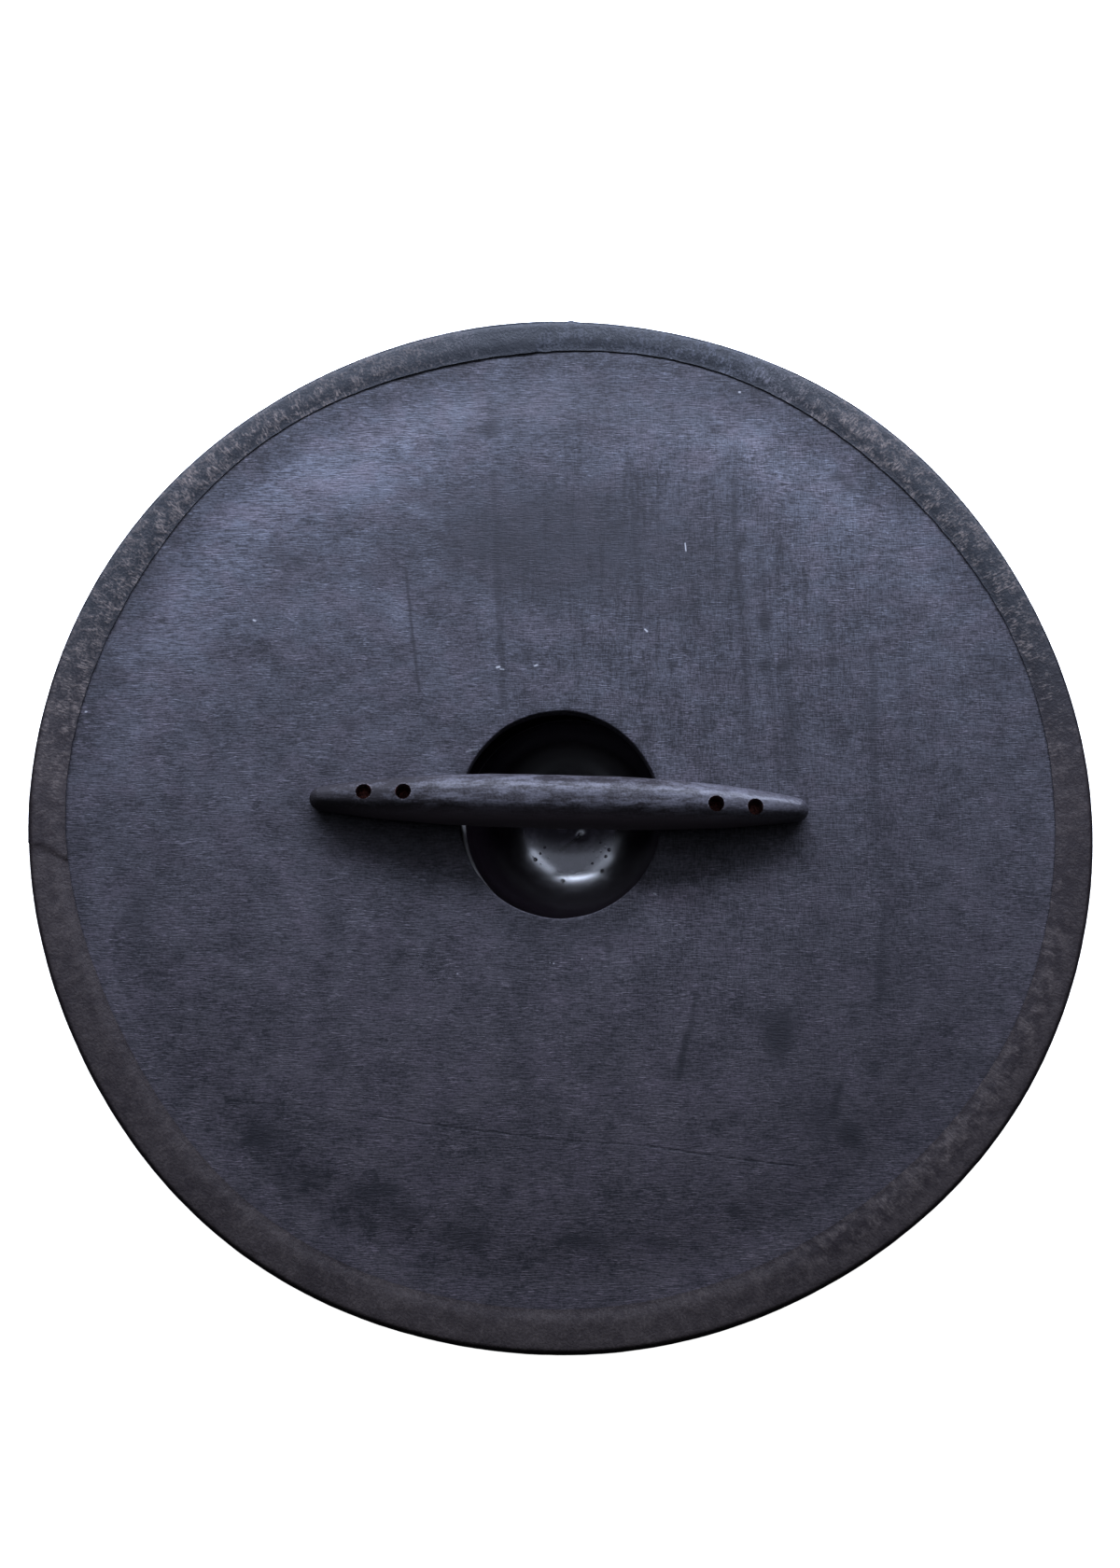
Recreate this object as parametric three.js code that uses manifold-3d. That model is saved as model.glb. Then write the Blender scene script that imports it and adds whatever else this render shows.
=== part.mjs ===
import * as THREE from 'three';
import { mergeVertices } from 'three/addons/utils/BufferGeometryUtils.js';
import Module from 'manifold-3d';

// A round wooden shield that lies on its boss with the grip side up, in millimetres, +Z up.
// +X runs along the grip, and the origin is on the ground under the middle of the board.

const wasm = await Module();
wasm.setup();

// Gap between pieces that touch
const fit = 0.3;

// How far a cutter runs past the face it opens
const overcut = 1;

// Corners nearer than this are one corner
const weld = 1e-4;

// Board
const shieldRadius = 304.6; // mean, to the outside of the edge strip
const boardThickness = 9;
const boardSkin = 2.5; // wood left beyond the tip of a screw or nail
const outlineSteps = 108;
const outlineWander = 0.9; // how far the hand-sawn outline strays
const outlineWaves = [ // waves round the edge, share of the wander, degrees from +X to a crest
	[ 4, 1, - 28 ],
	[ 6, 0.33, - 6.5 ],
	[ 8, 0.33, 8 ],
];

// Hand hole
const handHoleWidth = 116;
const handHoleHeight = 122;
const handHoleX = - 1.2;
const handHoleY = - 1.4;
const handHoleSteps = 56;

// Leather strip folded round the edge
const stripThickness = 1.5;
const stripWidth = 22.2; // mean width of the band on each face
const stripRounding = 3.2; // outer corners of the fold
const stripRoundingSteps = 3;
const stripWander = 3; // how far its hand-cut inner edge strays
const stripWaves = [ // in the same terms as the outline's waves
	[ 1, 1, 90 ],
	[ 3, 0.27, 13 ],
	[ 4, 0.47, - 18 ],
	[ 6, 0.23, 6 ],
	[ 7, 0.33, 24 ],
];

// Boss, its middle given from the middle of the hand hole
const bossOffsetX = 6.6;
const bossOffsetY = - 2;
const bossFlat = 19; // radius of the flat spot inside the apex
const bossWall = 2;
const bossBend = 3; // where the dome turns into the flange
const bossBendSteps = 2;
const bossDomeSteps = 9;
const bossSteps = 48;
const flangeWidth = 20;

// Nails through the flange
const nailCount = 6;
const nailHeadRadius = 4.5;
const nailHeadHeight = 2.2;
const nailShankRadius = 1.4;
const nailFirstTurn = 30; // degrees from +X to the first nail

// Grip, its middle given from the middle of the hand hole
const gripOffsetX = - 0.7;
const gripOffsetY = 3.8;
const gripTurn = - 1.16; // degrees about +Z
const gripLanding = 84.5; // length that lies on the board, on each side of the hand hole
const gripWidth = 31;
const gripHeight = 28;
const gripEndWidth = 11.6;
const gripEndHeight = 13;
const gripNose = 6; // length over which each end is rounded off
const gripTaper = 2.6; // power of the taper towards the ends
const gripBelly = 0.45; // level at which the bar is widest, as a share of its height
const gripKeel = 1.35; // depth of the round below that level, before the underside is planed flat
const gripSteps = 22;
const gripSides = 18;

// Screws that hold the grip, in counterbored holes
const screwInset = 31.5; // from each end of the grip to its outer screw
const screwPitch = 22.5; // between the two screws of one end
const screwSkew = - 0.9; // degrees between the row of screws and the grip's axis
const screwTurnStep = 40; // degrees from one screw's slot to the next one's
const counterboreRoom = 0.9; // round the screw heads
const counterboreFloor = 10; // wood left under the screw heads
const screwHeadRadius = 3.6;
const screwHeadHeight = 2.4;
const screwShankRadius = 1.5;
const slotWidth = 1;
const slotDepth = 1.1;

const roundSteps = 12; // sides of screws, nails and their holes
const headSteps = 3; // rings of a domed head
const pointLength = 2; // tapered tip of a screw or nail

// The dome is as wide as the hand hole
const bossRadius = Math.max( handHoleWidth, handHoleHeight ) / 2;
const bossDepth = Math.sqrt( bossRadius ** 2 - bossFlat ** 2 );
const bossX = handHoleX + bossOffsetX;
const bossY = handHoleY + bossOffsetY;

// Heights, from the flat apex of the boss upwards
const mouthHeight = bossWall + bossDepth;
const boardFront = mouthHeight + fit;
const boardBack = boardFront + boardThickness;
const gripBase = boardBack + fit;
const stripFront = boardFront - fit - stripThickness;
const stripBack = boardBack + fit + stripThickness;

const flangeOuter = bossRadius + bossWall + flangeWidth;
const nailCircle = bossRadius + bossWall + flangeWidth / 2;
const biteDepth = boardThickness - boardSkin; // of screws and nails in the board
const gripLength = handHoleWidth + 2 * gripLanding;
const counterboreRadius = screwHeadRadius + counterboreRoom;
const screwHoleRadius = screwShankRadius + fit;
const nailHoleRadius = nailShankRadius + fit;

const radians = THREE.MathUtils.degToRad;

// How far a wavy edge strays from its circle at one angle
function wander( waves, most, angle ) {

	let share = 0;
	for ( const [ count, height, crest ] of waves ) {

		share += height * Math.cos( count * ( angle - radians( crest ) ) );

	}

	return most * share;

}

// Points on an arc about ( x, y ), from one angle to another
function arc( x, y, radius, from, to, steps ) {

	const points = [];
	for ( let i = 0; i <= steps; i ++ ) {

		const angle = from + ( to - from ) * i / steps;
		points.push( new THREE.Vector2( x + radius * Math.cos( angle ), y + radius * Math.sin( angle ) ) );

	}

	return points;

}

// A body turned about +Z from a profile of ( radius, height )
function turned( profile, steps ) {

	return new THREE.LatheGeometry( profile, steps ).rotateX( Math.PI / 2 );

}

// Shared corners merged, and the empty triangles at the poles of a turned body left out
function welded( geometry ) {

	const bare = geometry.clone();
	bare.deleteAttribute( 'normal' );
	bare.deleteAttribute( 'uv' );
	const merged = mergeVertices( bare, weld );
	const corners = merged.index.array;
	const kept = [];
	for ( let i = 0; i < corners.length; i += 3 ) {

		const [ a, b, c ] = corners.slice( i, i + 3 );
		if ( a !== b && b !== c && c !== a ) kept.push( a, b, c );

	}

	merged.setIndex( kept );
	return merged;

}

function toSolid( geometry ) {

	const mesh = welded( geometry );
	return new wasm.Manifold( new wasm.Mesh( {
		numProp: 3,
		vertProperties: new Float32Array( mesh.attributes.position.array ),
		triVerts: new Uint32Array( mesh.index.array ),
	} ) );

}

// The body with every tool cut out of it
function cut( geometry, tools ) {

	let solid = toSolid( geometry );
	for ( const tool of tools ) solid = solid.subtract( toSolid( tool ) );
	const mesh = solid.getMesh();
	const result = new THREE.BufferGeometry();
	result.setAttribute( 'position', new THREE.BufferAttribute( mesh.vertProperties, 3 ) );
	result.setIndex( new THREE.BufferAttribute( mesh.triVerts, 1 ) );
	result.computeVertexNormals();
	return result;

}

// A round cutter from one height to another
function drill( x, y, radius, from, to ) {

	return new THREE.CylinderGeometry( radius, radius, to - from, roundSteps )
		.rotateX( Math.PI / 2 )
		.translate( x, y, ( from + to ) / 2 );

}

// A domed head below its seat at height 0, with a pointed shank above it
function pin( headRadius, headHeight, shankRadius, length ) {

	const dome = arc( 0, 0, 1, - Math.PI / 2, 0, headSteps )
		.map( ( p ) => new THREE.Vector2( headRadius * p.x, headHeight * p.y ) );
	dome[ 0 ].x = 0;
	return turned( [
		...dome,
		new THREE.Vector2( shankRadius, 0 ),
		new THREE.Vector2( shankRadius, length - pointLength ),
		new THREE.Vector2( 0, length ),
	], roundSteps );

}

function screwPlaces() {

	const places = [];
	const outer = gripLength / 2 - screwInset;
	const inner = outer - screwPitch;
	for ( const along of [ - outer, - inner, inner, outer ] ) {

		places.push( new THREE.Vector3( along, along * Math.tan( radians( screwSkew ) ), counterboreFloor + fit ) );

	}

	return places;

}

function nailPlaces() {

	const places = [];
	for ( let i = 0; i < nailCount; i ++ ) {

		const angle = radians( nailFirstTurn ) + 2 * Math.PI * i / nailCount;
		places.push( new THREE.Vector3(
			bossX + nailCircle * Math.cos( angle ),
			bossY + nailCircle * Math.sin( angle ),
			mouthHeight - bossWall - fit
		) );

	}

	return places;

}

function boardGeometry( screwHoles, nailHoles ) {

	const outline = [];
	const boardRadius = shieldRadius - stripThickness - fit;
	for ( let i = 0; i < outlineSteps; i ++ ) {

		const angle = 2 * Math.PI * i / outlineSteps;
		const radius = boardRadius + wander( outlineWaves, outlineWander, angle );
		outline.push( new THREE.Vector2( radius * Math.cos( angle ), radius * Math.sin( angle ) ) );

	}

	const shape = new THREE.Shape( outline );
	const handHole = new THREE.Path();
	handHole.absellipse( handHoleX, handHoleY, handHoleWidth / 2, handHoleHeight / 2, 0, 2 * Math.PI );
	shape.holes.push( new THREE.Path( handHole.getPoints( handHoleSteps ).slice( 0, - 1 ) ) );
	const board = new THREE.ExtrudeGeometry( shape, { depth: boardThickness, bevelEnabled: false } )
		.translate( 0, 0, boardFront );

	const screwBottom = boardBack - biteDepth;
	const nailBottom = boardFront + biteDepth;
	return cut( board, [
		...screwHoles.map( ( p ) => drill( p.x, p.y, screwHoleRadius, screwBottom, boardBack + overcut ) ),
		...nailHoles.map( ( p ) => drill( p.x, p.y, nailHoleRadius, boardFront - overcut, nailBottom ) ),
	] );

}

// The fold's section is turned into a ring, then its two edges follow the hand-cut lines
function edgeStripGeometry() {

	const inner = shieldRadius - stripWidth;
	const pocket = shieldRadius - stripThickness;
	const cornerX = shieldRadius - stripRounding;
	const quarter = Math.PI / 2;
	const section = [
		new THREE.Vector2( inner, stripFront ),
		...arc( cornerX, stripFront + stripRounding, stripRounding, - quarter, 0, stripRoundingSteps ),
		...arc( cornerX, stripBack - stripRounding, stripRounding, 0, quarter, stripRoundingSteps ),
		new THREE.Vector2( inner, stripBack ),
		new THREE.Vector2( inner, boardBack + fit ),
		new THREE.Vector2( pocket, boardBack + fit ),
		new THREE.Vector2( pocket, boardFront - fit ),
		new THREE.Vector2( inner, boardFront - fit ),
		new THREE.Vector2( inner, stripFront ),
	];
	const ring = turned( section, outlineSteps );
	const betweenEdges = ( inner + cornerX ) / 2;
	const spots = ring.attributes.position;
	for ( let i = 0; i < spots.count; i ++ ) {

		const angle = Math.atan2( spots.getY( i ), spots.getX( i ) );
		const radius = Math.hypot( spots.getX( i ), spots.getY( i ) );
		const stray = radius < betweenEdges
			? wander( stripWaves, stripWander, angle )
			: wander( outlineWaves, outlineWander, angle );
		const moved = radius + stray;
		spots.setXY( i, moved * Math.cos( angle ), moved * Math.sin( angle ) );

	}

	return ring;

}

function bossGeometry( nailHoles ) {

	const outerRadius = bossRadius + bossWall;
	const bendHeight = mouthHeight - bossBend;
	const bendX = Math.sqrt( bossRadius ** 2 - bossBend ** 2 ) + bossBend;
	const outerFlat = - Math.asin( mouthHeight / outerRadius );
	const innerFlat = - Math.asin( bossDepth / bossRadius );
	const outerTop = - Math.asin( bossBend / outerRadius );
	const innerTop = - Math.asin( bossBend / bossRadius );
	const outerDome = arc( 0, mouthHeight, outerRadius, outerFlat, outerTop, bossDomeSteps );
	const innerDome = arc( 0, mouthHeight, bossRadius, innerTop, innerFlat, bossDomeSteps );
	const bend = arc( bendX, bendHeight, bossBend, Math.PI / 2, Math.PI, bossBendSteps ).slice( 0, - 1 );
	const profile = [
		new THREE.Vector2( 0, 0 ),
		...outerDome,
		new THREE.Vector2( bendX, mouthHeight - bossWall ),
		new THREE.Vector2( flangeOuter, mouthHeight - bossWall ),
		new THREE.Vector2( flangeOuter, mouthHeight ),
		...bend,
		...innerDome,
		new THREE.Vector2( 0, bossWall ),
	];
	const body = turned( profile, bossSteps ).translate( bossX, bossY, 0 );
	return cut( body, nailHoles.map(
		( p ) => drill( p.x, p.y, nailHoleRadius, mouthHeight - bossWall - overcut, mouthHeight + overcut )
	) );

}

// Half width and height of the bar at one place, with its ends rounded off
function gripSection( along, turn ) {

	const half = gripLength / 2;
	const fullness = 1 - ( Math.abs( along ) / half ) ** gripTaper;
	const intoNose = Math.max( 0, Math.abs( along ) - half + gripNose ) / gripNose;
	const nose = Math.sqrt( Math.max( 0, 1 - intoNose ** 2 ) );
	const width = gripEndWidth + ( gripWidth - gripEndWidth ) * fullness;
	const height = gripEndHeight + ( gripHeight - gripEndHeight ) * fullness;
	const belly = gripBelly * height;
	const rise = Math.sin( turn ) > 0 ? height - belly : gripKeel * belly;
	return {
		across: width / 2 * nose * Math.cos( turn ),
		up: Math.max( 0, belly + rise * nose * Math.sin( turn ) ),
	};

}

function gripGeometry( places ) {

	const stations = [];
	for ( let i = 0; i <= gripSteps; i ++ ) {

		const turn = Math.PI * i / gripSteps;
		stations.push( new THREE.Vector2( Math.sin( turn ), - gripLength / 2 * Math.cos( turn ) ) );

	}

	const bar = new THREE.LatheGeometry( stations, gripSides );
	const spots = bar.attributes.position;
	for ( let i = 0; i < spots.count; i ++ ) {

		const along = stations[ i % stations.length ].y;
		const turn = 2 * Math.PI * Math.floor( i / stations.length ) / gripSides;
		const { across, up } = gripSection( along, turn );
		spots.setXYZ( i, along, across, up );

	}

	const tools = [];
	for ( const p of places ) {

		tools.push( drill( p.x, p.y, counterboreRadius, counterboreFloor, gripHeight + overcut ) );
		tools.push( drill( p.x, p.y, screwHoleRadius, - overcut, counterboreFloor + overcut ) );

	}

	return cut( bar, tools );

}

function screwGeometry() {

	const shank = counterboreFloor + fit + biteDepth;
	const screw = pin( screwHeadRadius, screwHeadHeight, screwShankRadius, shank ).rotateX( Math.PI );
	const slotLength = 2 * ( screwHeadRadius + overcut );
	const slot = new THREE.BoxGeometry( slotLength, slotWidth, 2 * slotDepth )
		.translate( 0, 0, screwHeadHeight );
	return cut( screw, [ slot ] );

}

function material( color, roughness, metalness ) {

	return new THREE.MeshStandardMaterial( { color, roughness, metalness } );

}

function piece( name, geometry, surface ) {

	const mesh = new THREE.Mesh( geometry, surface );
	mesh.name = name;
	return mesh;

}

const shield = new THREE.Group();

const gripGroup = new THREE.Group();
gripGroup.position.set( handHoleX + gripOffsetX, handHoleY + gripOffsetY, gripBase );
gripGroup.rotation.z = radians( gripTurn );
gripGroup.updateMatrix();
shield.add( gripGroup );

const screws = screwPlaces();
const nails = nailPlaces();
const screwHoles = screws.map( ( p ) => p.clone().applyMatrix4( gripGroup.matrix ) );

shield.add( piece( 'board', boardGeometry( screwHoles, nails ), material( '#4a4d5c', 0.62, 0 ) ) );
shield.add( piece( 'edge_strip', edgeStripGeometry(), material( '#45424a', 0.7, 0 ) ) );
shield.add( piece( 'boss', bossGeometry( nails ), material( '#141319', 0.25, 0.3 ) ) );
gripGroup.add( piece( 'grip', gripGeometry( screws ), material( '#2b2a32', 0.5, 0 ) ) );

const screwShape = screwGeometry();
screws.forEach( ( place, i ) => {

	const screw = piece( `grip_screw_${ i + 1 }`, screwShape, material( '#3a2320', 0.8, 0.5 ) );
	screw.position.copy( place );
	screw.rotation.z = radians( screwTurnStep * i );
	gripGroup.add( screw );

} );

const nailShape = pin( nailHeadRadius, nailHeadHeight, nailShankRadius, bossWall + fit + biteDepth );
nails.forEach( ( place, i ) => {

	const nail = piece( `boss_nail_${ i + 1 }`, nailShape, material( '#18171c', 0.4, 0.6 ) );
	nail.position.copy( place );
	shield.add( nail );

} );

export default shield;
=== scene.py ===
import math

import bmesh
import bpy
import numpy as np
from mathutils import Matrix, Vector, noise


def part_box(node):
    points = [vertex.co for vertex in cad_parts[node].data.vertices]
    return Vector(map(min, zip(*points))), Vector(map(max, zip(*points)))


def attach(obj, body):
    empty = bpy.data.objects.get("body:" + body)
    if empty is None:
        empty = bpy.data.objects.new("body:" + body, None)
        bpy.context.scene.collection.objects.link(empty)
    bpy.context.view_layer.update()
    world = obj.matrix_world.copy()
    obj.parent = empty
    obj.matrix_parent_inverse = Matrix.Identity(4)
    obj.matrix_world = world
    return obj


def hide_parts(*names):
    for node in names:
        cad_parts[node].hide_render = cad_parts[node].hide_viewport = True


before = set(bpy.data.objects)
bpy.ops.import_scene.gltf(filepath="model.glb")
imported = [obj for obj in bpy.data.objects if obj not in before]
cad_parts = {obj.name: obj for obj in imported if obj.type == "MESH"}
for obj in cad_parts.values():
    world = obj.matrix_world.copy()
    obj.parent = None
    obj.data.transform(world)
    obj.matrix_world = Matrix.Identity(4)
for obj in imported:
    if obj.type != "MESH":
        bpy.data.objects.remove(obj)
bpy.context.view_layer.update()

# The shield lies on its boss, grip side up: +X runs along the grip, +Y to the top of the picture.
# Sizes are in millimetres and become metres where a mesh is made.
mm = 0.001
even = (1, 1, 1)  # a pattern that isn't stretched


def corners(node):
    low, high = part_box(node)
    return np.array(low) / mm, np.array(high) / mm


boardLow, boardHigh = corners("board")
stripLow, stripHigh = corners("edge_strip")
bossLow, bossHigh = corners("boss")
gripLow, gripHigh = corners("grip")

fit = 0.3  # gap between pieces that touch
raggedSize = 2.2  # of the bites out of a hole's edge
shieldRadius = 304.6  # mean, to the outside of the leather
outlineWaves = ((4, 0.9, -28), (6, 0.3, -6.5), (8, 0.3, 8))  # count, height, crest in degrees
stripWaves = ((1, 3, 90), (3, 0.8, 13), (4, 1.4, -18), (6, 0.7, 6), (7, 1, 24))
handHole = {"x": -1.2, "y": -1.4, "halfWidth": 58, "halfHeight": 61}


def wander(waves, angles):  # how far a wavy edge strays from its circle
    return sum(height * np.cos(count * (angles - math.radians(crest))) for count, height, crest in waves)


def unevenness(spots, size, seed):  # smooth noise from -1 to 1, with bumps about size wide
    places = spots.reshape(-1, 3) / size + np.array([17.3, 5.1, 9.7]) * seed
    return np.array([noise.noise(place) for place in places.tolist()]).reshape(spots.shape[:-1])


def turnsOf(count):
    return np.arange(count) * 2 * math.pi / count


def onCircle(angles):
    return np.stack([np.cos(angles), np.sin(angles)], axis=-1)


def ringAt(radius, angles):
    return radius * np.stack([np.cos(angles), np.sin(angles), 0 * angles], axis=-1)


def distanceFrom(spots, x=0, y=0):  # level, from an upright line
    return np.hypot(spots[..., 0] - x, spots[..., 1] - y)


def addObject(name, data):
    added = bpy.data.objects.new(name, data)
    bpy.context.scene.collection.objects.link(added)
    return added


def finishMesh(mesh, sharp):
    work = bmesh.new()
    work.from_mesh(mesh)
    bmesh.ops.remove_doubles(work, verts=work.verts, dist=1e-6)
    bmesh.ops.recalc_face_normals(work, faces=work.faces)
    work.to_mesh(mesh)
    work.free()
    mesh.shade_smooth()
    mesh.set_sharp_from_angle(angle=math.radians(sharp))


# spots[turn][point] are rows of points that go round; a section that isn't closed ends on its axis
def ringPiece(name, spots, closed=True, sharp=40):
    turns, points = spots.shape[:2]
    turn = np.arange(turns)[:, None]
    point = np.arange(points if closed else points - 1)[None, :]
    nextTurn = (turn + 1) % turns
    nextPoint = (point + 1) % points
    faces = np.stack([
        turn * points + point,
        nextTurn * points + point,
        nextTurn * points + nextPoint,
        turn * points + nextPoint,
    ], axis=-1).reshape(-1, 4)
    mesh = bpy.data.meshes.new(name)
    mesh.from_pydata((spots.reshape(-1, 3) * mm).tolist(), [], faces.tolist())
    finishMesh(mesh, sharp)
    return addObject(name, mesh)


# A body turned about an upright line through (x, y), from (radius, height) pairs that end on the line
def turnedSpots(profile, turns, x, y):
    radius, height = np.array(profile, dtype=float).T
    angles = turnsOf(turns)[:, None]
    return np.stack([
        x + radius * np.cos(angles),
        y + radius * np.sin(angles),
        np.broadcast_to(height, (turns, len(height))),
    ], axis=-1)


def arcPoints(x, y, radius, fromDegrees, toDegrees, steps):
    turn = np.radians(np.linspace(fromDegrees, toDegrees, steps + 1))
    return list(zip(x + radius * np.cos(turn), y + radius * np.sin(turn)))


def cutAway(piece, cutter, sharp):
    modifier = piece.modifiers.new("cut", "BOOLEAN")
    modifier.operation = "DIFFERENCE"
    modifier.solver = "EXACT"
    modifier.object = cutter
    ready = bpy.context.evaluated_depsgraph_get()
    left = bpy.data.meshes.new_from_object(piece.evaluated_get(ready))
    piece.modifiers.clear()
    piece.data = left
    finishMesh(piece.data, sharp)


# Round holes cut out of a piece, each given as (x, y, radius, lowest, highest)
def drillHoles(piece, holes, sides, ragged=0.0, sharp=40):
    parts = []
    for number, (x, y, radius, low, high) in enumerate(holes):
        profile = [(0, low), (radius, low), (radius, (low + high) / 2), (radius, high), (0, high)]
        spots = turnedSpots(profile, sides, x, y)
        outward = spots[:, :, :2] - np.array([x, y])
        spots[:, :, :2] += outward / radius * ragged * unevenness(spots, raggedSize, 40 + number)[:, :, None]
        parts.append(ringPiece("cutter", spots, closed=False))
    cutter = parts[0]
    work = bmesh.new()
    for part in parts:
        work.from_mesh(part.data)
    work.to_mesh(cutter.data)
    work.free()
    cutAway(piece, cutter, sharp)
    for part in parts:
        bpy.data.objects.remove(part)


def vertexSpots(piece):
    flat = np.empty(len(piece.data.vertices) * 3, dtype=np.float32)
    piece.data.vertices.foreach_get("co", flat)
    return flat.reshape(-1, 3) / mm


def storeValue(piece, name, values):  # one number for each vertex, read by the piece's material
    layer = piece.data.attributes.new(name, "FLOAT", "POINT")
    layer.data.foreach_set("value", np.asarray(values, dtype=np.float32))


# Shader nodes
def addNode(tree, kind, inputs=None, **settings):
    node = tree.nodes.new("ShaderNode" + kind)
    for name, value in settings.items():
        setattr(node, name, value)
    for name, value in (inputs or {}).items():
        setInput(tree, node.inputs[name], value)
    return node


def setInput(tree, socket, value):  # value is a node's output, or what the socket holds by itself
    if isinstance(value, bpy.types.NodeSocket):
        tree.links.new(value, socket)
    elif socket.type == "RGBA" and len(value) == 3:
        socket.default_value = (*value, 1)
    else:
        socket.default_value = value


def feed(tree, shader, **values):  # Base_Color=... goes to the shader's Base Color
    for name, value in values.items():
        setInput(tree, shader.inputs[name.replace("_", " ")], value)


def calc(tree, operation, *values):
    node = addNode(tree, "Math", operation=operation)
    for socket, value in zip(node.inputs, values):
        setInput(tree, socket, value)
    return node.outputs[0]


def times(tree, first, second):
    return calc(tree, "MULTIPLY", first, second)


def clamped(tree, value):  # held between 0 and 1
    return addNode(tree, "Clamp", {"Value": value}).outputs[0]


def stored(tree, name):  # a value kept by storeValue
    return addNode(tree, "Attribute", attribute_name=name).outputs["Fac"]


def partsOf(tree, place):
    return addNode(tree, "SeparateXYZ", {"Vector": place}).outputs


def vectorCalc(tree, operation, *values):
    node = addNode(tree, "VectorMath", operation=operation)
    for socket, value in zip(node.inputs, values):
        setInput(tree, socket, value)
    return node.outputs["Value" if operation in ("LENGTH", "DOT_PRODUCT") else "Vector"]


def remap(tree, value, low, high, toLow=0.0, toHigh=1.0):
    return addNode(tree, "MapRange", {
        "Value": value, "From Min": low, "From Max": high, "To Min": toLow, "To Max": toHigh,
    }, interpolation_type="SMOOTHSTEP").outputs[0]


def mixColour(tree, factor, first, second):
    node = addNode(tree, "Mix", data_type="RGBA")
    setInput(tree, node.inputs[0], factor)
    setInput(tree, node.inputs[6], first)
    setInput(tree, node.inputs[7], second)
    return node.outputs[2]


def weigh(tree, start, weights, masks):  # start + mask * weight + mask * weight ...
    total = start
    for name, weight in weights.items():
        total = calc(tree, "MULTIPLY_ADD", masks[name], weight, total)
    return total


def strongest(tree, masks):
    total = masks[0]
    for mask in masks[1:]:
        total = calc(tree, "MAXIMUM", total, mask)
    return total


def newGroup(name, inputs, outputs):
    tree = bpy.data.node_groups.new(name, "ShaderNodeTree")
    for label, value in inputs.items():
        kind = "NodeSocketVector" if isinstance(value, tuple) else "NodeSocketFloat"
        socket = tree.interface.new_socket(name=label, in_out="INPUT", socket_type=kind)
        socket.default_value = value
    for label in outputs:
        tree.interface.new_socket(name=label, in_out="OUTPUT", socket_type="NodeSocketFloat")
    return tree, tree.nodes.new("NodeGroupInput").outputs, tree.nodes.new("NodeGroupOutput").inputs


def useGroup(tree, group, inputs):
    node = addNode(tree, "Group", node_tree=group)
    for name, value in inputs.items():
        setInput(tree, node.inputs[name], value)
    return node.outputs


# Cloudy patches, or grain where they are stretched; Size is in mm
def patchesGroup():
    tree, given, result = newGroup("patches", {
        "Vector": (0, 0, 0), "Stretch": (1, 1, 1), "Size": 10.0, "Detail": 2.0, "Low": 0.4, "High": 0.6,
    }, ["Mask"])
    stretched = vectorCalc(tree, "DIVIDE", given["Vector"], given["Stretch"])
    cloud = addNode(tree, "TexNoise", {
        "Vector": stretched,
        "Scale": calc(tree, "DIVIDE", 1.0, given["Size"]),
        "Detail": given["Detail"],
        "Roughness": 0.55,
    }).outputs[0]
    tree.links.new(remap(tree, cloud, given["Low"], given["High"]), result["Mask"])
    return tree


# Round specks in some of the cells of a jittered pattern
def specksGroup():
    tree, given, result = newGroup("specks", {
        "Vector": (0, 0, 0), "Cell": 6.0, "Reach": 0.2, "Chance": 0.3,
    }, ["Mask"])
    cells = addNode(tree, "TexVoronoi", {
        "Vector": given["Vector"],
        "Scale": calc(tree, "DIVIDE", 1.0, given["Cell"]),
    }).outputs
    chosen = addNode(tree, "SeparateColor", {"Color": cells["Color"]}).outputs["Red"]
    kept = calc(tree, "LESS_THAN", chosen, given["Chance"])
    near = remap(tree, cells["Distance"], given["Reach"], 0.0)
    tree.links.new(times(tree, kept, near), result["Mask"])
    return tree


# One soft oval mark
def spotGroup():
    tree, given, result = newGroup("spot", {
        "Vector": (0, 0, 0), "Centre": (0, 0, 0), "Reach": (1, 1, 1),
    }, ["Mask"])
    away = vectorCalc(tree, "SUBTRACT", given["Vector"], given["Centre"])
    share = vectorCalc(tree, "LENGTH", vectorCalc(tree, "DIVIDE", away, given["Reach"]))
    tree.links.new(remap(tree, share, 1.0, 0.2), result["Mask"])
    return tree


# One soft straight line from Start to End
def strokeGroup():
    tree, given, result = newGroup("stroke", {
        "Vector": (0, 0, 0), "Start": (0, 0, 0), "End": (1, 0, 0), "Width": 1.0,
    }, ["Mask"])
    away = vectorCalc(tree, "SUBTRACT", given["Vector"], given["Start"])
    whole = vectorCalc(tree, "SUBTRACT", given["End"], given["Start"])
    along = calc(tree, "DIVIDE", vectorCalc(tree, "DOT_PRODUCT", away, whole),
                 vectorCalc(tree, "DOT_PRODUCT", whole, whole))
    nearest = vectorCalc(tree, "MULTIPLY", whole, clamped(tree, along))
    distance = vectorCalc(tree, "LENGTH", vectorCalc(tree, "SUBTRACT", away, nearest))
    tree.links.new(remap(tree, distance, given["Width"], 0.0), result["Mask"])
    return tree


# Places round a middle: how far out, and the direction as two numbers
def roundGroup():
    tree, given, result = newGroup("round", {"Vector": (0, 0, 0)}, ["Radius", "Toward X", "Toward Y"])
    flat = vectorCalc(tree, "MULTIPLY", given["Vector"], (1, 1, 0))
    toward = partsOf(tree, vectorCalc(tree, "NORMALIZE", flat))
    tree.links.new(vectorCalc(tree, "LENGTH", flat), result["Radius"])
    tree.links.new(toward["X"], result["Toward X"])
    tree.links.new(toward["Y"], result["Toward Y"])
    return tree


patches = patchesGroup()
specks = specksGroup()
spot = spotGroup()
stroke = strokeGroup()
roundabout = roundGroup()


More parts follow.
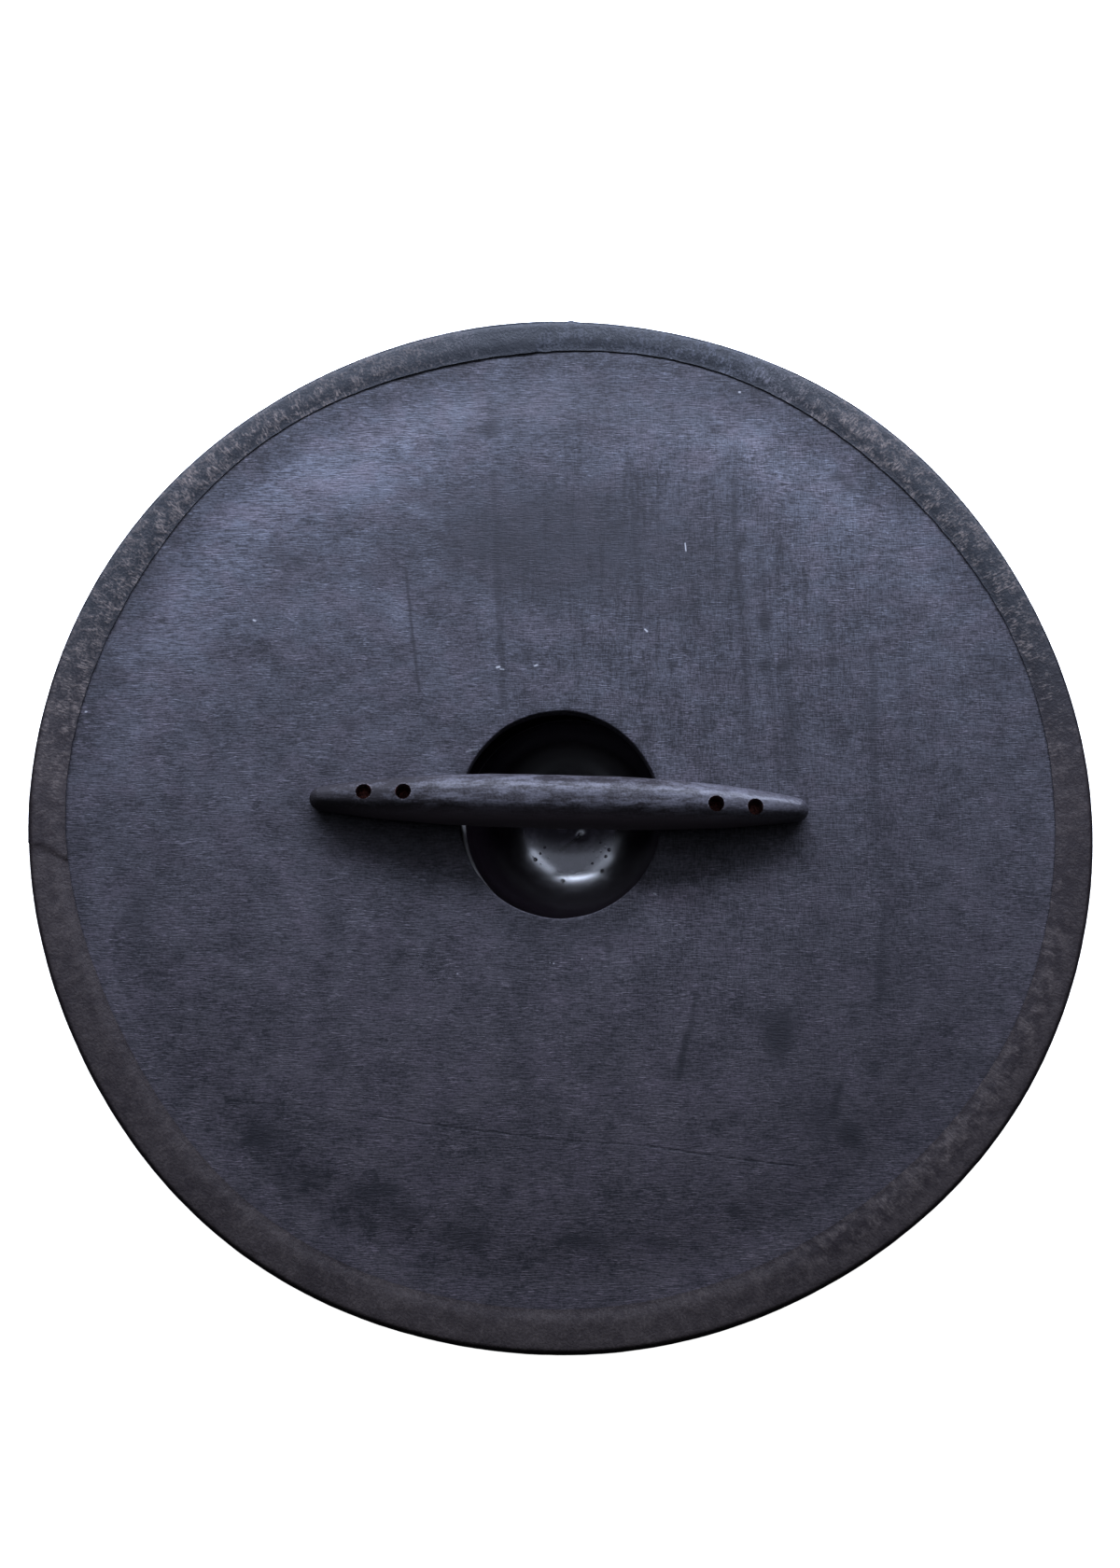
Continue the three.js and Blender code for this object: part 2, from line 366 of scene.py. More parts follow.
def specksOn(tree, place, cell, reach, chance):
    return useGroup(tree, specks, {"Vector": place, "Cell": cell, "Reach": reach, "Chance": chance})["Mask"]


def spotOn(tree, place, middle, reach):
    return useGroup(tree, spot, {"Vector": place, "Centre": middle, "Reach": reach})["Mask"]


def aroundPoint(tree, place, middle):
    moved = vectorCalc(tree, "SUBTRACT", place, (*middle, 0))
    return useGroup(tree, roundabout, {"Vector": moved})


def patternMasks(tree, patterns, places):  # one mask for each row, named as the row
    masks = {}
    for name, (follows, stretch, size, detail, low, high) in patterns.items():
        masks[name] = useGroup(tree, patches, {
            "Vector": places[follows], "Stretch": stretch, "Size": size, "Detail": detail,
            "Low": low, "High": high,
        })["Mask"]
    return masks


# 1 where the way out from the middle points to an angle, 0 well away from it
def facing(tree, ring, degrees, low, high):
    turn = math.radians(degrees)
    sideways = times(tree, ring["Toward Y"], math.sin(turn))
    return remap(tree, calc(tree, "MULTIPLY_ADD", ring["Toward X"], math.cos(turn), sideways), low, high)


def zoneMasks(tree, ring, zones):
    return {name: facing(tree, ring, *zone) for name, zone in zones.items()}


def startMaterial(name, look, specular=0.5, ior=1.5):
    material = bpy.data.materials.new(name)
    material.use_nodes = True
    tree = material.node_tree
    shader = tree.nodes["Principled BSDF"]
    feed(tree, shader, Specular_IOR_Level=specular, IOR=ior)
    material.diffuse_color = (*look, 1)
    inMetres = addNode(tree, "TexCoord").outputs["Object"]
    return material, tree, shader, vectorCalc(tree, "DIVIDE", inMetres, (mm, mm, mm))


def warped(tree, place, size, reach):  # the place, shifted a little by noise
    cloud = addNode(tree, "TexNoise", {"Vector": place, "Scale": 1 / size, "Detail": 2.0}).outputs["Color"]
    shift = vectorCalc(tree, "MULTIPLY_ADD", cloud, (2 * reach,) * 3, (-reach,) * 3)
    return vectorCalc(tree, "ADD", place, shift)


def grooves(tree, shader, look, masks):  # from the relief, depth in mm and strength of a look
    feed(tree, shader, Normal=addNode(tree, "Bump", {
        "Height": weigh(tree, 0.0, look["relief"], masks),
        "Distance": look["depth"] * mm,
        "Strength": look["bump"],
    }).outputs[0])


print("helpers and node groups ready")


# Matt blue-black paint over open grain that runs along X
boardPaint = {
    "deep": (0.020, 0.019, 0.025),
    "pale": (0.113, 0.118, 0.147),
    "palePlum": (0.132, 0.114, 0.128),  # towards the bottom of the picture
    "plum": (0.130, 0.109, 0.134),
    "chip": (0.42, 0.42, 0.44),
    "specular": 0.42,
    "roughDeep": 0.66,
    "roughPale": 0.44,
    "wavy": (45, 2.2),  # size and reach of the noise that shifts the grain
    "loose": (9, 4),  # that shifts soft zones
    "bent": (10, 0.8),  # that shifts cracks
    "markWobble": (14, 3.5),
    "lineWobble": (9, 1.2),
    "downward": (230, -260),  # Y where the lower colour starts and is full
    "patterns": {  # what it follows, stretch, size in mm, detail, low, high
        "grain": ("wavy", (8, 1, 1), 0.8, 2, 0.3, 0.7),
        "dashes": ("wavy", (4.5, 1, 1), 0.9, 1, 0.52, 0.72),
        "dashZones": ("place", even, 14, 2, 0.38, 0.62),
        "threads": ("place", (1, 8, 1), 0.7, 2, 0.32, 0.68),
        "clouds": ("place", even, 34, 4, 0.32, 0.68),
        "mottle": ("place", (1.4, 1, 1), 6, 3, 0.32, 0.68),
        "tooth": ("place", even, 1.5, 3, 0.32, 0.68),
        "blotches": ("place", even, 10, 4, 0.5, 0.7),
        "plum": ("place", (1.3, 1, 1), 17, 4, 0.42, 0.62),
        "streaks": ("wavy", (1, 14, 1), 4, 3, 0.5, 0.7),
    },
    "threadZone": ((120, 60), (260, 320, 60)),  # middle and reach
    "streakZone": ((60, 140), (160, 150, 60)),
    "flecks": (2.6, 0.26, 0.35),  # cell, reach in cells and chance of specks
    "nicks": (17, 0.035, 0.35),
    "zones": {  # of the band near the rim, painted lighter on its upper side as a highlight and darker on its lower side as shade: degrees, where it starts and is full
        "sunnyLeft": (130, 0.6, 0.95),
        "sunnyRight": (60, 0.75, 0.97),
        "shadedSide": (245, 0.6, 0.92),
        "upper": (105, -0.2, 0.6),
    },
    "rimEdgeShade": (1, 0),  # painted shade along the leather's inner edge, mm from the leather: where it ends and is full
    "rimShade": (15, 5),
    "bandInner": (78, 33),
    "bandOuter": (10, 25),
    "tone": -0.13,  # to which the masks add these shares
    "weights": {
        "grain": 0.34, "clouds": 0.2, "mottle": 0.12, "tooth": 0.28, "dashed": 0.5, "crossed": 0.34,
        "streaked": -0.26, "blotches": -0.12, "scuffs": 0.34, "highlightGrain": 0.3, "cracks": -0.3,
        "nicks": 0.8, "bright": 0.04, "dark": -0.2, "rimEdgeShade": -0.08, "rimShade": -0.14,
    },
    "cover": {"smudgesAndShade": 0.88, "streakLines": 0.85, "thinLines": 0.8},  # how much of the tone they hide
    "relief": {
        "grain": 0.7, "dashed": 0.5, "crossed": 0.5, "tooth": 0.3, "streakLines": -0.5, "cracks": -1.5,
    },
    "depth": 0.14,
    "bump": 0.7,
    "smudgesAndShade": (  # x, y, reach along x and y, strength; the broad ovals darken whole zones as painted shade, the small ones are smudges
        (0, 165, 130, 66, 0.8), (70, 150, 90, 80, 0.45), (10, 250, 190, 40, 0.42),
        (190, -40, 150, 300, 0.24), (0, -70, 66, 13, 0.42), (-44, 235, 10, 8, 0.9), (3, 164, 24, 24, 0.6),
        (-55, 148, 20, 5, 0.5), (-139, 71, 9, 7, 0.5), (-124, 53, 9, 8, 0.5), (-165, 155, 24, 6, 0.45),
        (-117, 141, 22, 6, 0.4), (-82, 189, 8, 12, 0.5), (60, 143, 14, 5, 0.6), (84, 150, 10, 9, 0.7),
        (44, 86, 8, 4, 0.7), (64, 86, 6, 5, 0.9), (90, 86, 6, 4, 0.6), (106, 89, 5, 6, 0.7),
        (118, 89, 6, 7, 1), (129, 88, 6, 6, 1), (157, 90, 6, 6, 0.9), (172, 89, 7, 4, 0.5),
        (119, 116, 7, 12, 1), (165, 204, 14, 5, 0.8), (171, 198, 7, 6, 0.8), (104, 161, 6, 10, 1),
        (85, 163, 12, 9, 0.6), (80, 180, 7, 14, 0.5), (35, 229, 12, 4, 0.4), (157, 116, 6, 11, 0.5),
        (100, 180, 6, 9, 0.5), (102, 137, 22, 36, 0.3), (-168, -188, 15, 13, 0.9), (-141, -205, 13, 7, 0.7),
        (-102, -217, 24, 7, 0.8), (-87, -228, 18, 7, 0.6), (-52, -242, 26, 8, 0.7),
        (-153, -215, 10, 10, 0.4), (15, -242, 24, 9, 0.6), (53, -244, 15, 6, 0.7), (96, -228, 7, 8, 0.9),
        (121, -227, 12, 5, 0.5), (121, -129, 17, 27, 1), (144, -176, 22, 18, 0.75),
        (161, -184, 13, 16, 0.95), (180, -95, 9, 24, 0.6), (27, -80, 5, 6, 0.7), (97, -76, 4, 8, 0.5),
        (186, -22, 6, 10, 0.5), (68, -143, 5, 8, 0.6), (116, -91, 5, 6, 0.5), (-76, -84, 6, 2, 0.8),
        (-54, -152, 5, 2, 0.9), (-240, -60, 14, 30, 0.4),
    ),
    "scuffs": (
        (-118, 200, 46, 20, 0.7), (-150, 212, 24, 14, 0.3), (-63, 246, 20, 9, 0.6), (-86, 186, 14, 12, 0.6),
        (-230, 127, 16, 24, 0.3), (-97, 128, 10, 22, 0.35), (-62, 130, 6, 5, 0.8), (111, 175, 9, 4, 0.7),
        (111, 232, 20, 9, 0.7), (80, 245, 24, 8, 0.3), (52, 62, 8, 5, 0.5), (262, 65, 10, 14, 0.45),
        (150, 140, 7, 18, 0.45), (217, 168, 16, 20, 0.3), (-33, -101, 4, 3, 0.9), (75, -46, 8, 2.5, 0.7),
        (238, -40, 26, 60, 0.25),
    ),
    "gritty": (
        (2, -88, 20, 9, 1), (-33, -101, 6, 5, 1), (-56, -93, 16, 6, 1), (-19, -132, 7, 9, 1),
        (0, -116, 9, 7, 1),
    ),
    "browned": ((68, -50, 26, 9, 0.9), (80, 215, 22, 14, 0.7), (-95, -222, 60, 18, 0.4)),
    "streakLines": (  # start x and y, end x and y, width, strength
        (-41, 207, -38, 146, 2.6, 0.5), (-38, 146, -34, 62, 3.4, 0.6), (40, 216, 43, 167, 2.2, 0.6),
        (43, 167, 45, 116, 3, 0.5), (102, 201, 102, 137, 4, 0.6), (105, 137, 107, 33, 3.5, 0.5),
        (116, 159, 125, 23, 3, 0.5), (131, 75, 132, 20, 5, 0.5), (181, 100, 180, -7, 4, 0.6),
        (199, 96, 198, 54, 3.5, 0.4), (82, 95, 83, 43, 3, 0.4), (76, -107, 70, -129, 2.2, 0.7),
        (70, -129, 65, -153, 2.8, 1), (184, -53, 180, -84, 2.4, 0.7), (180, -84, 178, -111, 3.2, 0.6),
        (155, -157, 151, -174, 3.2, 1),
    ),
    "cracks": (
        (-200, -166, -131, -170, 1.1, 0.5), (-131, -170, -77, -179, 1, 0.4),
        (-77, -179, -17, -186, 1.1, 0.7), (-17, -187, 47, -191, 0.9, 0.6), (47, -191, 79, -196, 1.1, 0.9),
        (79, -196, 128, -202, 1.1, 0.8),
    ),
    "thinLines": (
        (-92, 146, -83, 71, 1.6, 0.9), (-188, 141, -171, 108, 1.2, 0.5), (-78, -84, -72, -85, 1.3, 1),
    ),
    "scratches": (
        (72.4, 163, 72.8, 158.3, 0.7, 0.9), (48.3, 109.6, 49.5, 108.4, 0.9, 0.9),
        (-38, 86, -36.6, 86.3, 1.1, 0.9), (-36, 85, -34, 84.6, 0.7, 0.6), (-16, 87, -14.6, 87.6, 1, 0.7),
        (-180, 114, -179, 113.6, 1, 0.8), (-275, 58, -274.6, 58, 0.9, 0.9), (106, 259, 106.5, 259, 1, 0.9),
        (-55, 35.5, -49, 36.5, 0.8, 0.3), (-38, -256, -30, -256.5, 0.7, 0.4),
        (-53, -250, -46, -250, 0.7, 0.3), (52, -48, 53, -48.4, 0.9, 0.5),
    ),
}


# Board: one painted wooden disc with an oval hand hole
board = {
    "turns": 720,
    "backRings": 100,
    "backCrowding": 1.05,  # rings stand closer towards the hole
    "frontRings": 24,
    "frontCrowding": 1.1,
    "wallRings": 5,
    "edgeRound": 0.9,  # worn edge of the hand hole
    "edgeSteps": 4,
    "swell": 0.25,  # how far the faces rise and fall
    "swellSize": 70,
    "swellSink": 0.6,  # keeps it below the solid's faces
    "swellFade": 1 / 6,  # share of the way from the outline
    "dip": 0.7,  # the wood is thinned towards the leather
    "dipRadius": 262,
    "dipReach": 26,
    "holeWobble": 0.35,
    "holeWobbleSize": 14,
    "nailHole": 1.7,
    "screwHole": 1.8,
    "skin": 2.5,  # wood left beyond a nail or screw
}


def boardSection():  # (share of the way to the outline, offset from the hole, height)
    low, high, edge = boardLow[2], boardHigh[2], board["edgeRound"]
    backShares = np.linspace(1, 0, board["backRings"]) ** board["backCrowding"]
    section = [(share, edge * (1 - share), high) for share in backShares]
    section += [(0, *spot) for spot in arcPoints(edge, high - edge, edge, 90, 180, board["edgeSteps"])[1:]]
    section += [(0, 0, z) for z in np.linspace(high - edge, low + edge, board["wallRings"])[1:-1]]
    section += [(0, *spot) for spot in arcPoints(edge, low + edge, edge, 180, 270, board["edgeSteps"])]
    frontShares = np.linspace(0, 1, board["frontRings"])[1:] ** board["frontCrowding"]
    section += [(share, edge * (1 - share), low) for share in frontShares]
    return np.array(section)


def rimRadius(angles):  # outside of the leather
    return shieldRadius + wander(outlineWaves, angles)


def leatherEdge(angles):  # inner edge of the leather band
    wobble = unevenness(ringAt(shieldRadius, angles), strip["edgeWobbleSize"], 3)
    return shieldRadius - strip["width"] + wander(stripWaves, angles) + strip["edgeWobble"] * wobble


def holeEdge(angles):
    ring = ringAt(handHole["halfWidth"], angles)
    out = board["holeWobble"] * unevenness(ring, board["holeWobbleSize"], 5)
    x = handHole["x"] + (handHole["halfWidth"] + out) * np.cos(angles)
    y = handHole["y"] + (handHole["halfHeight"] + out) * np.sin(angles)
    return np.stack([x, y], axis=-1)


def buildBoard():
    angles = turnsOf(board["turns"])
    thickness = stripHigh[2] - boardHigh[2]
    outer = (rimRadius(angles) - thickness)[:, None] * onCircle(angles)
    inner = holeEdge(angles)
    span = outer - inner
    toward = span / np.linalg.norm(span, axis=1)[:, None]
    share, offset, height = boardSection().T
    flat = inner[:, None] + span[:, None] * share[:, None] + toward[:, None] * offset[:, None]
    spots = np.concatenate([flat, np.broadcast_to(height[:, None], (*flat.shape[:2], 1))], axis=-1)
    quiet = np.minimum(1, (1 - share) / board["swellFade"])  # the swell dies out under the leather
    swell = unevenness(spots, board["swellSize"], 1) - board["swellSink"]
    spots[:, :, 2] += board["swell"] * swell * quiet
    fromDip = np.clip((distanceFrom(spots) - board["dipRadius"]) / board["dipReach"], -1, 1)
    isBack = height > (boardLow[2] + boardHigh[2]) / 2
    spots[:, :, 2] -= board["dip"] * 0.5 * (1 + np.cos(math.pi * fromDip)) * isBack
    piece = ringPiece("woodenBoard", spots)
    low, high = boardLow[2], boardHigh[2]
    nails = [(*middle, board["nailHole"], low - 2, high - board["skin"]) for middle in nailPlaces]
    screws = [(*middle, board["screwHole"], low + board["skin"], high + 2) for middle in screwPlaces]
    drillHoles(piece, nails + screws, sides=16)
    places = vertexSpots(piece)
    around = np.arctan2(places[:, 1], places[:, 0])
    storeValue(piece, "rimGap", leatherEdge(around) - distanceFrom(places))
    onBack = places[:, 2] > high - 2
    loose = places[:, :2] + jitter(places, *boardPaint["markWobble"])
    for name in ("smudgesAndShade", "scuffs", "browned", "gritty"):
        storeValue(piece, name, onBack * ovalMarks(loose, boardPaint[name]))
    loose = places[:, :2] + jitter(places, *boardPaint["lineWobble"])
    storeValue(piece, "streakLines", onBack * lineMarks(loose, boardPaint["streakLines"]))
    return piece


def jitter(places, size, reach):  # smooth noise that shifts a mark's outline along x and y
    return reach * np.stack([unevenness(places, size, 71), unevenness(places, size, 72)], axis=-1)


def fade(share):  # 1 inside, 0 from 1 outwards
    inward = np.clip((1 - share) / 0.8, 0, 1)
    return inward * inward * (3 - 2 * inward)


def ovalMarks(places, marks):
    total = np.zeros(len(places))
    for x, y, reachX, reachY, strength in marks:
        share = np.hypot((places[:, 0] - x) / reachX, (places[:, 1] - y) / reachY)
        total = np.maximum(total, strength * fade(share))
    return total


def lineMarks(places, lines):
    total = np.zeros(len(places))
    for x, y, endX, endY, width, strength in lines:
        start, whole = np.array([x, y]), np.array([endX - x, endY - y])
        along = np.clip((places - start) @ whole / (whole @ whole), 0, 1)
        away = np.linalg.norm(places - start - along[:, None] * whole, axis=1)
        total = np.maximum(total, strength * fade(away / width))
    return total


def middleOf(node):
    low, high = corners(node)
    return tuple(((low + high) / 2)[:2])


screwNodes = [f"grip_screw_{number}" for number in range(1, 5)]
nailNodes = [f"boss_nail_{number}" for number in range(1, 7)]
screwPlaces = [middleOf(node) for node in screwNodes]
nailPlaces = [middleOf(node) for node in nailNodes]


# Leather strip, folded over the edge of the board
strip = {
    "turns": 1320,
    "width": 22.2,
    "rounding": 3.2,  # outer corners of the fold
    "skive": 0.4,  # thickness at the inner edge
    "skiveWidth": 5,
    "edgeWobble": 0.3,
    "edgeWobbleSize": 7,
    "faceSteps": 11,
    "crowding": 1.3,  # steps stand closer towards the inner edge
    "cornerSteps": 5,
    "ridge": 0.12,  # unevenness across the band
    "ridgeSize": 11,
    "pucker": 0.07,
    "puckerSize": 3.2,
    "laps": (  # angle, lean over the width and length in degrees, height
        (184.9, -2.4, -30, 0.75),
        (92.0, -2.2, 26, 0.4),
    ),
    "nub": {"angle": 89.0, "width": 0.35, "height": 1.0},
}


# (share of the width from the inner edge, distance from the outside, height)
def stripSection():
    low, high, corner = stripLow[2], stripHigh[2], strip["rounding"]
    under, over = boardHigh[2] + 0.1, boardLow[2] - 0.1
    steps, rounds = strip["faceSteps"], strip["cornerSteps"]
    shares = np.linspace(0, 1, steps) ** strip["crowding"]
    section = [(0, None, under)]
    section += [(share, None, high) for share in shares[:-1]]
    section += [(1, x, z) for x, z in arcPoints(-corner, high - corner, corner, 90, 0, rounds)]
    section += [(1, 0, (low + high) / 2)]
    section += [(1, x, z) for x, z in arcPoints(-corner, low + corner, corner, 0, -90, rounds)]
    section += [(share, None, low) for share in shares[::-1][1:]]
    section += [(0, None, over)]
    thickness = high - boardHigh[2] - fit
    section += [(0.5, None, over), (1, -thickness, over), (1, -thickness, under), (0.5, None, under)]
    return section


def lapHeight(degrees, share):  # how much the overlapping end of the strip stands up
    total = np.zeros_like(degrees)
    for angle, lean, length, height in strip["laps"]:
        past = ((degrees - angle - lean * (share - 0.5) + 180) % 360 - 180) * np.sign(length)
        ramp = np.clip(1 - past / abs(length), 0, 1)
        total += np.where(past >= 0, height * ramp, 0)
    return total


def buildStrip():
    angles = turnsOf(strip["turns"])
    section = stripSection()
    inner, outer = leatherEdge(angles), rimRadius(angles)
    cornerStart = outer - strip["rounding"]
    degrees = np.degrees(angles)
    middle = (stripLow[2] + stripHigh[2]) / 2
    columns = []
    for share, back, height in section:
        radius = inner + share * (cornerStart - inner) if back is None else outer + back
        column = [radius * np.cos(angles), radius * np.sin(angles), 0 * angles + height]
        columns.append(np.stack(column, axis=-1))
    spots = np.stack(columns, axis=1)
    outside = 2 * strip["faceSteps"] + 2 * strip["cornerSteps"] + 3
    shares = np.array([share if back is None else 1 + back / (4 * strip["rounding"])
                       for share, back, _ in section])
    away = inner[:, None] + 0 * shares
    fromEdge = distanceFrom(spots) - away
    thinned = fit + strip["skive"] - (stripHigh[2] - boardHigh[2])
    skived = thinned * np.exp(-(fromEdge / strip["skiveWidth"]) ** 2)
    raised = lapHeight(degrees[:, None] + 0 * shares, shares)
    ridges = strip["ridge"] * unevenness(spots, strip["ridgeSize"], 11)
    ridges += strip["pucker"] * unevenness(spots, strip["puckerSize"], 12)
    lift = (raised + ridges + skived)[:, 1:outside + 1]
    upward = np.sign(spots[:, 1:outside + 1, 2] - middle)
    intoCorner = fromEdge[:, 1:outside + 1] - (cornerStart - inner)[:, None]
    flatness = np.clip(1 - intoCorner / strip["rounding"], 0, 1)
    spots[:, 1:outside + 1, 2] += upward * lift * flatness
    bulge = (0.6 * raised + ridges)[:, 1:outside + 1] * (1 - flatness)
    nub = strip["nub"]
    bulge += nub["height"] * np.exp(-((degrees - nub["angle"]) / nub["width"]) ** 2)[:, None] * (1 - flatness)
    spots[:, 1:outside + 1, :2] += onCircle(angles)[:, None] * bulge[:, :, None]
    piece = ringPiece("leatherStrip", spots, sharp=50)
    places = vertexSpots(piece)
    around = np.arctan2(places[:, 1], places[:, 0])
    edge = leatherEdge(around)
    storeValue(piece, "bandShare", (distanceFrom(places) - edge) / (rimRadius(around) - edge))
    return piece


# Boss: an iron shell with a flange, open towards the hand
boss = {
    "turns": 288,
    "wall": 2,
    "flatRadius": 19,  # of the flat spot that the shield lies on
    "bend": 3,  # where the dome turns into the flange
    "apexWall": 1.5,
    "innerSteps": 64,
    "outerSteps": 54,
    "flangeSteps": 9,
    "bow": 0.05,  # unevenness of the inside
    "bowSize": 16,
    "hammer": 0.22,  # hammer marks outside
    "hammerSize": 13,
    "trim": 0.5,  # how far the flange's edge strays
    "trimSize": 22,
    "nailHole": 1.7,
    "drip": {"x": 12.1, "y": 1.8, "height": 1.2, "reach": 2.0},
}


def bossProfile():
    mouth, wall, bend = bossHigh[2], boss["wall"], boss["bend"]
    inside = handHole["halfHeight"]
    outside = inside + wall
    flange = (bossHigh[0] - bossLow[0]) / 2
    depth = mouth - boss["apexWall"]
    bendX = math.sqrt(inside ** 2 - bend ** 2) + bend
    bendTurn = math.asin(bend / inside)
    flatTurn = math.asin(mouth / outside)
    profile = [(boss["flatRadius"] * share, 0) for share in np.linspace(0, 0.97, 9)]
    for turn in np.linspace(-flatTurn, -math.asin(bend / outside), boss["outerSteps"]):
        profile.append((outside * math.cos(turn), mouth + outside * math.sin(turn)))
    profile += [(x, mouth - wall) for x in np.linspace(bendX + 0.5, flange - 0.4, boss["flangeSteps"])]
    profile += [(flange, mouth - wall + 0.5), (flange, mouth - 0.5)]
    profile += [(x, mouth) for x in np.linspace(flange - 0.4, bendX + 1, boss["flangeSteps"])]
    profile += arcPoints(bendX, mouth - bend, bend, 90, 180, 6)[:-1]
    for turn in np.linspace(bendTurn, math.pi / 2, boss["innerSteps"]):
        profile.append((inside * math.cos(turn), mouth - depth * math.sin(turn)))
    profile[-1] = (0, boss["apexWall"])
    return profile


bossMiddle = (bossLow[:2] + bossHigh[:2]) / 2


def buildBoss():
    spots = turnedSpots(bossProfile(), boss["turns"], *bossMiddle)
    mouth = bossHigh[2]
    hub = np.array([*bossMiddle, mouth])
    out = spots - hub
    reach = np.linalg.norm(out, axis=-1)
    inside = handHole["halfHeight"]
    isOutside = (reach > inside + 0.9) & (spots[:, :, 2] < mouth - 1.5)
    isFlange = distanceFrom(out) > inside + 4
    isRest = spots[:, :, 2] < 0.5
    direction = out / np.maximum(reach, 1)[:, :, None]
    hammered = boss["hammer"] * np.minimum(0, unevenness(spots, boss["hammerSize"], 21))
    hammered[isFlange | isRest] = 0
    bowed = boss["bow"] * unevenness(spots, boss["bowSize"], 22)
    drip = boss["drip"]
    bowed -= drip["height"] * np.exp(-(distanceFrom(spots, drip["x"], drip["y"]) / drip["reach"]) ** 2)
    bowed[isFlange] = 0
    moved = np.where(isOutside, hammered, bowed)
    moved[isRest] = 0
    moved[:, -1] = moved[0, -1]
    moved[:, 0] = 0
    spots += direction * moved[:, :, None]
    flange = (bossHigh[0] - bossLow[0]) / 2
    isEdge = distanceFrom(out) > flange - 2
    strayed = boss["trim"] * np.minimum(0, unevenness(spots, boss["trimSize"], 23)) * isEdge
    spots[:, :, :2] += direction[:, :, :2] * strayed[:, :, None]
    piece = ringPiece("ironBoss", spots, closed=False, sharp=45)
    holes = [(*middle, boss["nailHole"], mouth - 5, mouth + 2) for middle in nailPlaces]
    drillHoles(piece, holes, sides=16, sharp=45)
    places = vertexSpots(piece)
    away = distanceFrom(places, *bossMiddle)
    depth = np.linalg.norm(places - hub, axis=1)
    outsideShare = np.clip((depth - inside - 0.4) / 1.0, 0, 1) * (places[:, 2] < mouth - 1)
    storeValue(piece, "outerSide", np.where(away > inside + 3, places[:, 2] < mouth - 1, outsideShare))
    storeValue(piece, "flangeEdge", np.clip((away - flange + 2.5) / 2.5, 0, 1))
    nearMouth = np.exp(-(depth - inside - 0.9) ** 2)
    storeValue(piece, "mouthEdge", nearMouth * (places[:, 2] > mouth - boss["bend"]))
    return piece


# Grip: a spindle-shaped wooden bar with two counterbored holes near each end
grip = {
    "turns": 72,
    "stations": 300,
    "degrees": -1.16,  # turned about +Z
    "length": 285,
    "width": 31,
    "endWidth": 11.6,
    "height": 28,
    "endHeight": 13,
    "nose": 6,
    "taper": 2.6,
    "belly": 0.45,
    "keel": 1.35,
    "facets": 9,  # left by the spokeshave
    "facetDepth": 0.012,
    "uneven": 0.3,
    "unevenSize": 5,
    "unevenSink": 0.4,  # keeps it below the solid's faces
    "unevenStretch": 0.35,  # longer along the grip
    "counterbore": 4.5,
    "floor": 10,
    "screwHole": 1.8,
    "ragged": 0.22,
}
gripMiddle = (gripLow[:2] + gripHigh[:2]) / 2


def gripPlace(along, across, up):  # from the bar's own axes to the frame's
    turn = math.radians(grip["degrees"])
    return np.stack([
        gripMiddle[0] + along * math.cos(turn) - across * math.sin(turn),
        gripMiddle[1] + along * math.sin(turn) + across * math.cos(turn),
        gripLow[2] + up,
    ], axis=-1)


def buildGrip():
    half = grip["length"] / 2
    along = -half * np.cos(np.linspace(0, math.pi, grip["stations"]))
    along = along[None, :] + np.zeros((grip["turns"], 1))
    turn = turnsOf(grip["turns"])[:, None] + 0 * along
    fullness = 1 - (np.abs(along) / half) ** grip["taper"]
    intoNose = np.clip((np.abs(along) - half + grip["nose"]) / grip["nose"], 0, 1)
    nose = np.sqrt(1 - intoNose ** 2)
    width = grip["endWidth"] + (grip["width"] - grip["endWidth"]) * fullness
    height = grip["endHeight"] + (grip["height"] - grip["endHeight"]) * fullness
    belly = grip["belly"] * height
    rise = np.where(np.sin(turn) > 0, height - belly, grip["keel"] * belly)
    around = np.stack([along * grip["unevenStretch"], 9 * np.cos(turn), 9 * np.sin(turn)], axis=-1)
    facet = 1 - grip["facetDepth"] * (0.5 + 0.5 * np.cos(grip["facets"] * (turn - math.pi / 2)))
    bumps = unevenness(around, grip["unevenSize"], 31) - grip["unevenSink"]
    facet += grip["uneven"] / grip["width"] * 2 * bumps
    side, top = np.cos(turn), np.sin(turn)
    across = width / 2 * nose * side * facet
    up = np.maximum(0, belly + rise * nose * top * facet)
    piece = ringPiece("spindleGrip", gripPlace(along, across, up), closed=False, sharp=50)
    base = gripLow[2]
    holes = [(*middle, grip["counterbore"], base + grip["floor"], gripHigh[2] + 3) for middle in screwPlaces]
    drillHoles(piece, holes, ragged=grip["ragged"], sides=44, sharp=42)
    shanks = [(*middle, grip["screwHole"], base - 2, base + grip["floor"] + 1) for middle in screwPlaces]
    drillHoles(piece, shanks, sides=16, sharp=42)
    places = vertexSpots(piece)
    gaps = [distanceFrom(places, x, y) for x, y in screwPlaces]
    storeValue(piece, "holeGap", np.min(gaps, axis=0) - grip["counterbore"])
    return piece


# Screws at the bottom of the grip's holes, and the nails that hold the boss
pins = {
    "turns": 44,
    "headSteps": 12,
    "point": 2,  # tapered tip
    "screwHead": 3.6,
    "screwHeadHeight": 2.4,
    "screwShank": 1.5,
    "slotWidth": 1.0,
    "slotDepth": 1.1,
    "slotStep": 40,  # degrees from one slot to the next
    "screwPitting": 0.09,
    "pitSize": 0.9,
    "nailHead": 4.5,
    "nailHeadHeight": 2.2,
    "nailShank": 1.4,
    "nailFacets": 5,
    "facetDepth": 0.04,
    "nailHammer": 0.3,
    "hammerSize": 4,
}


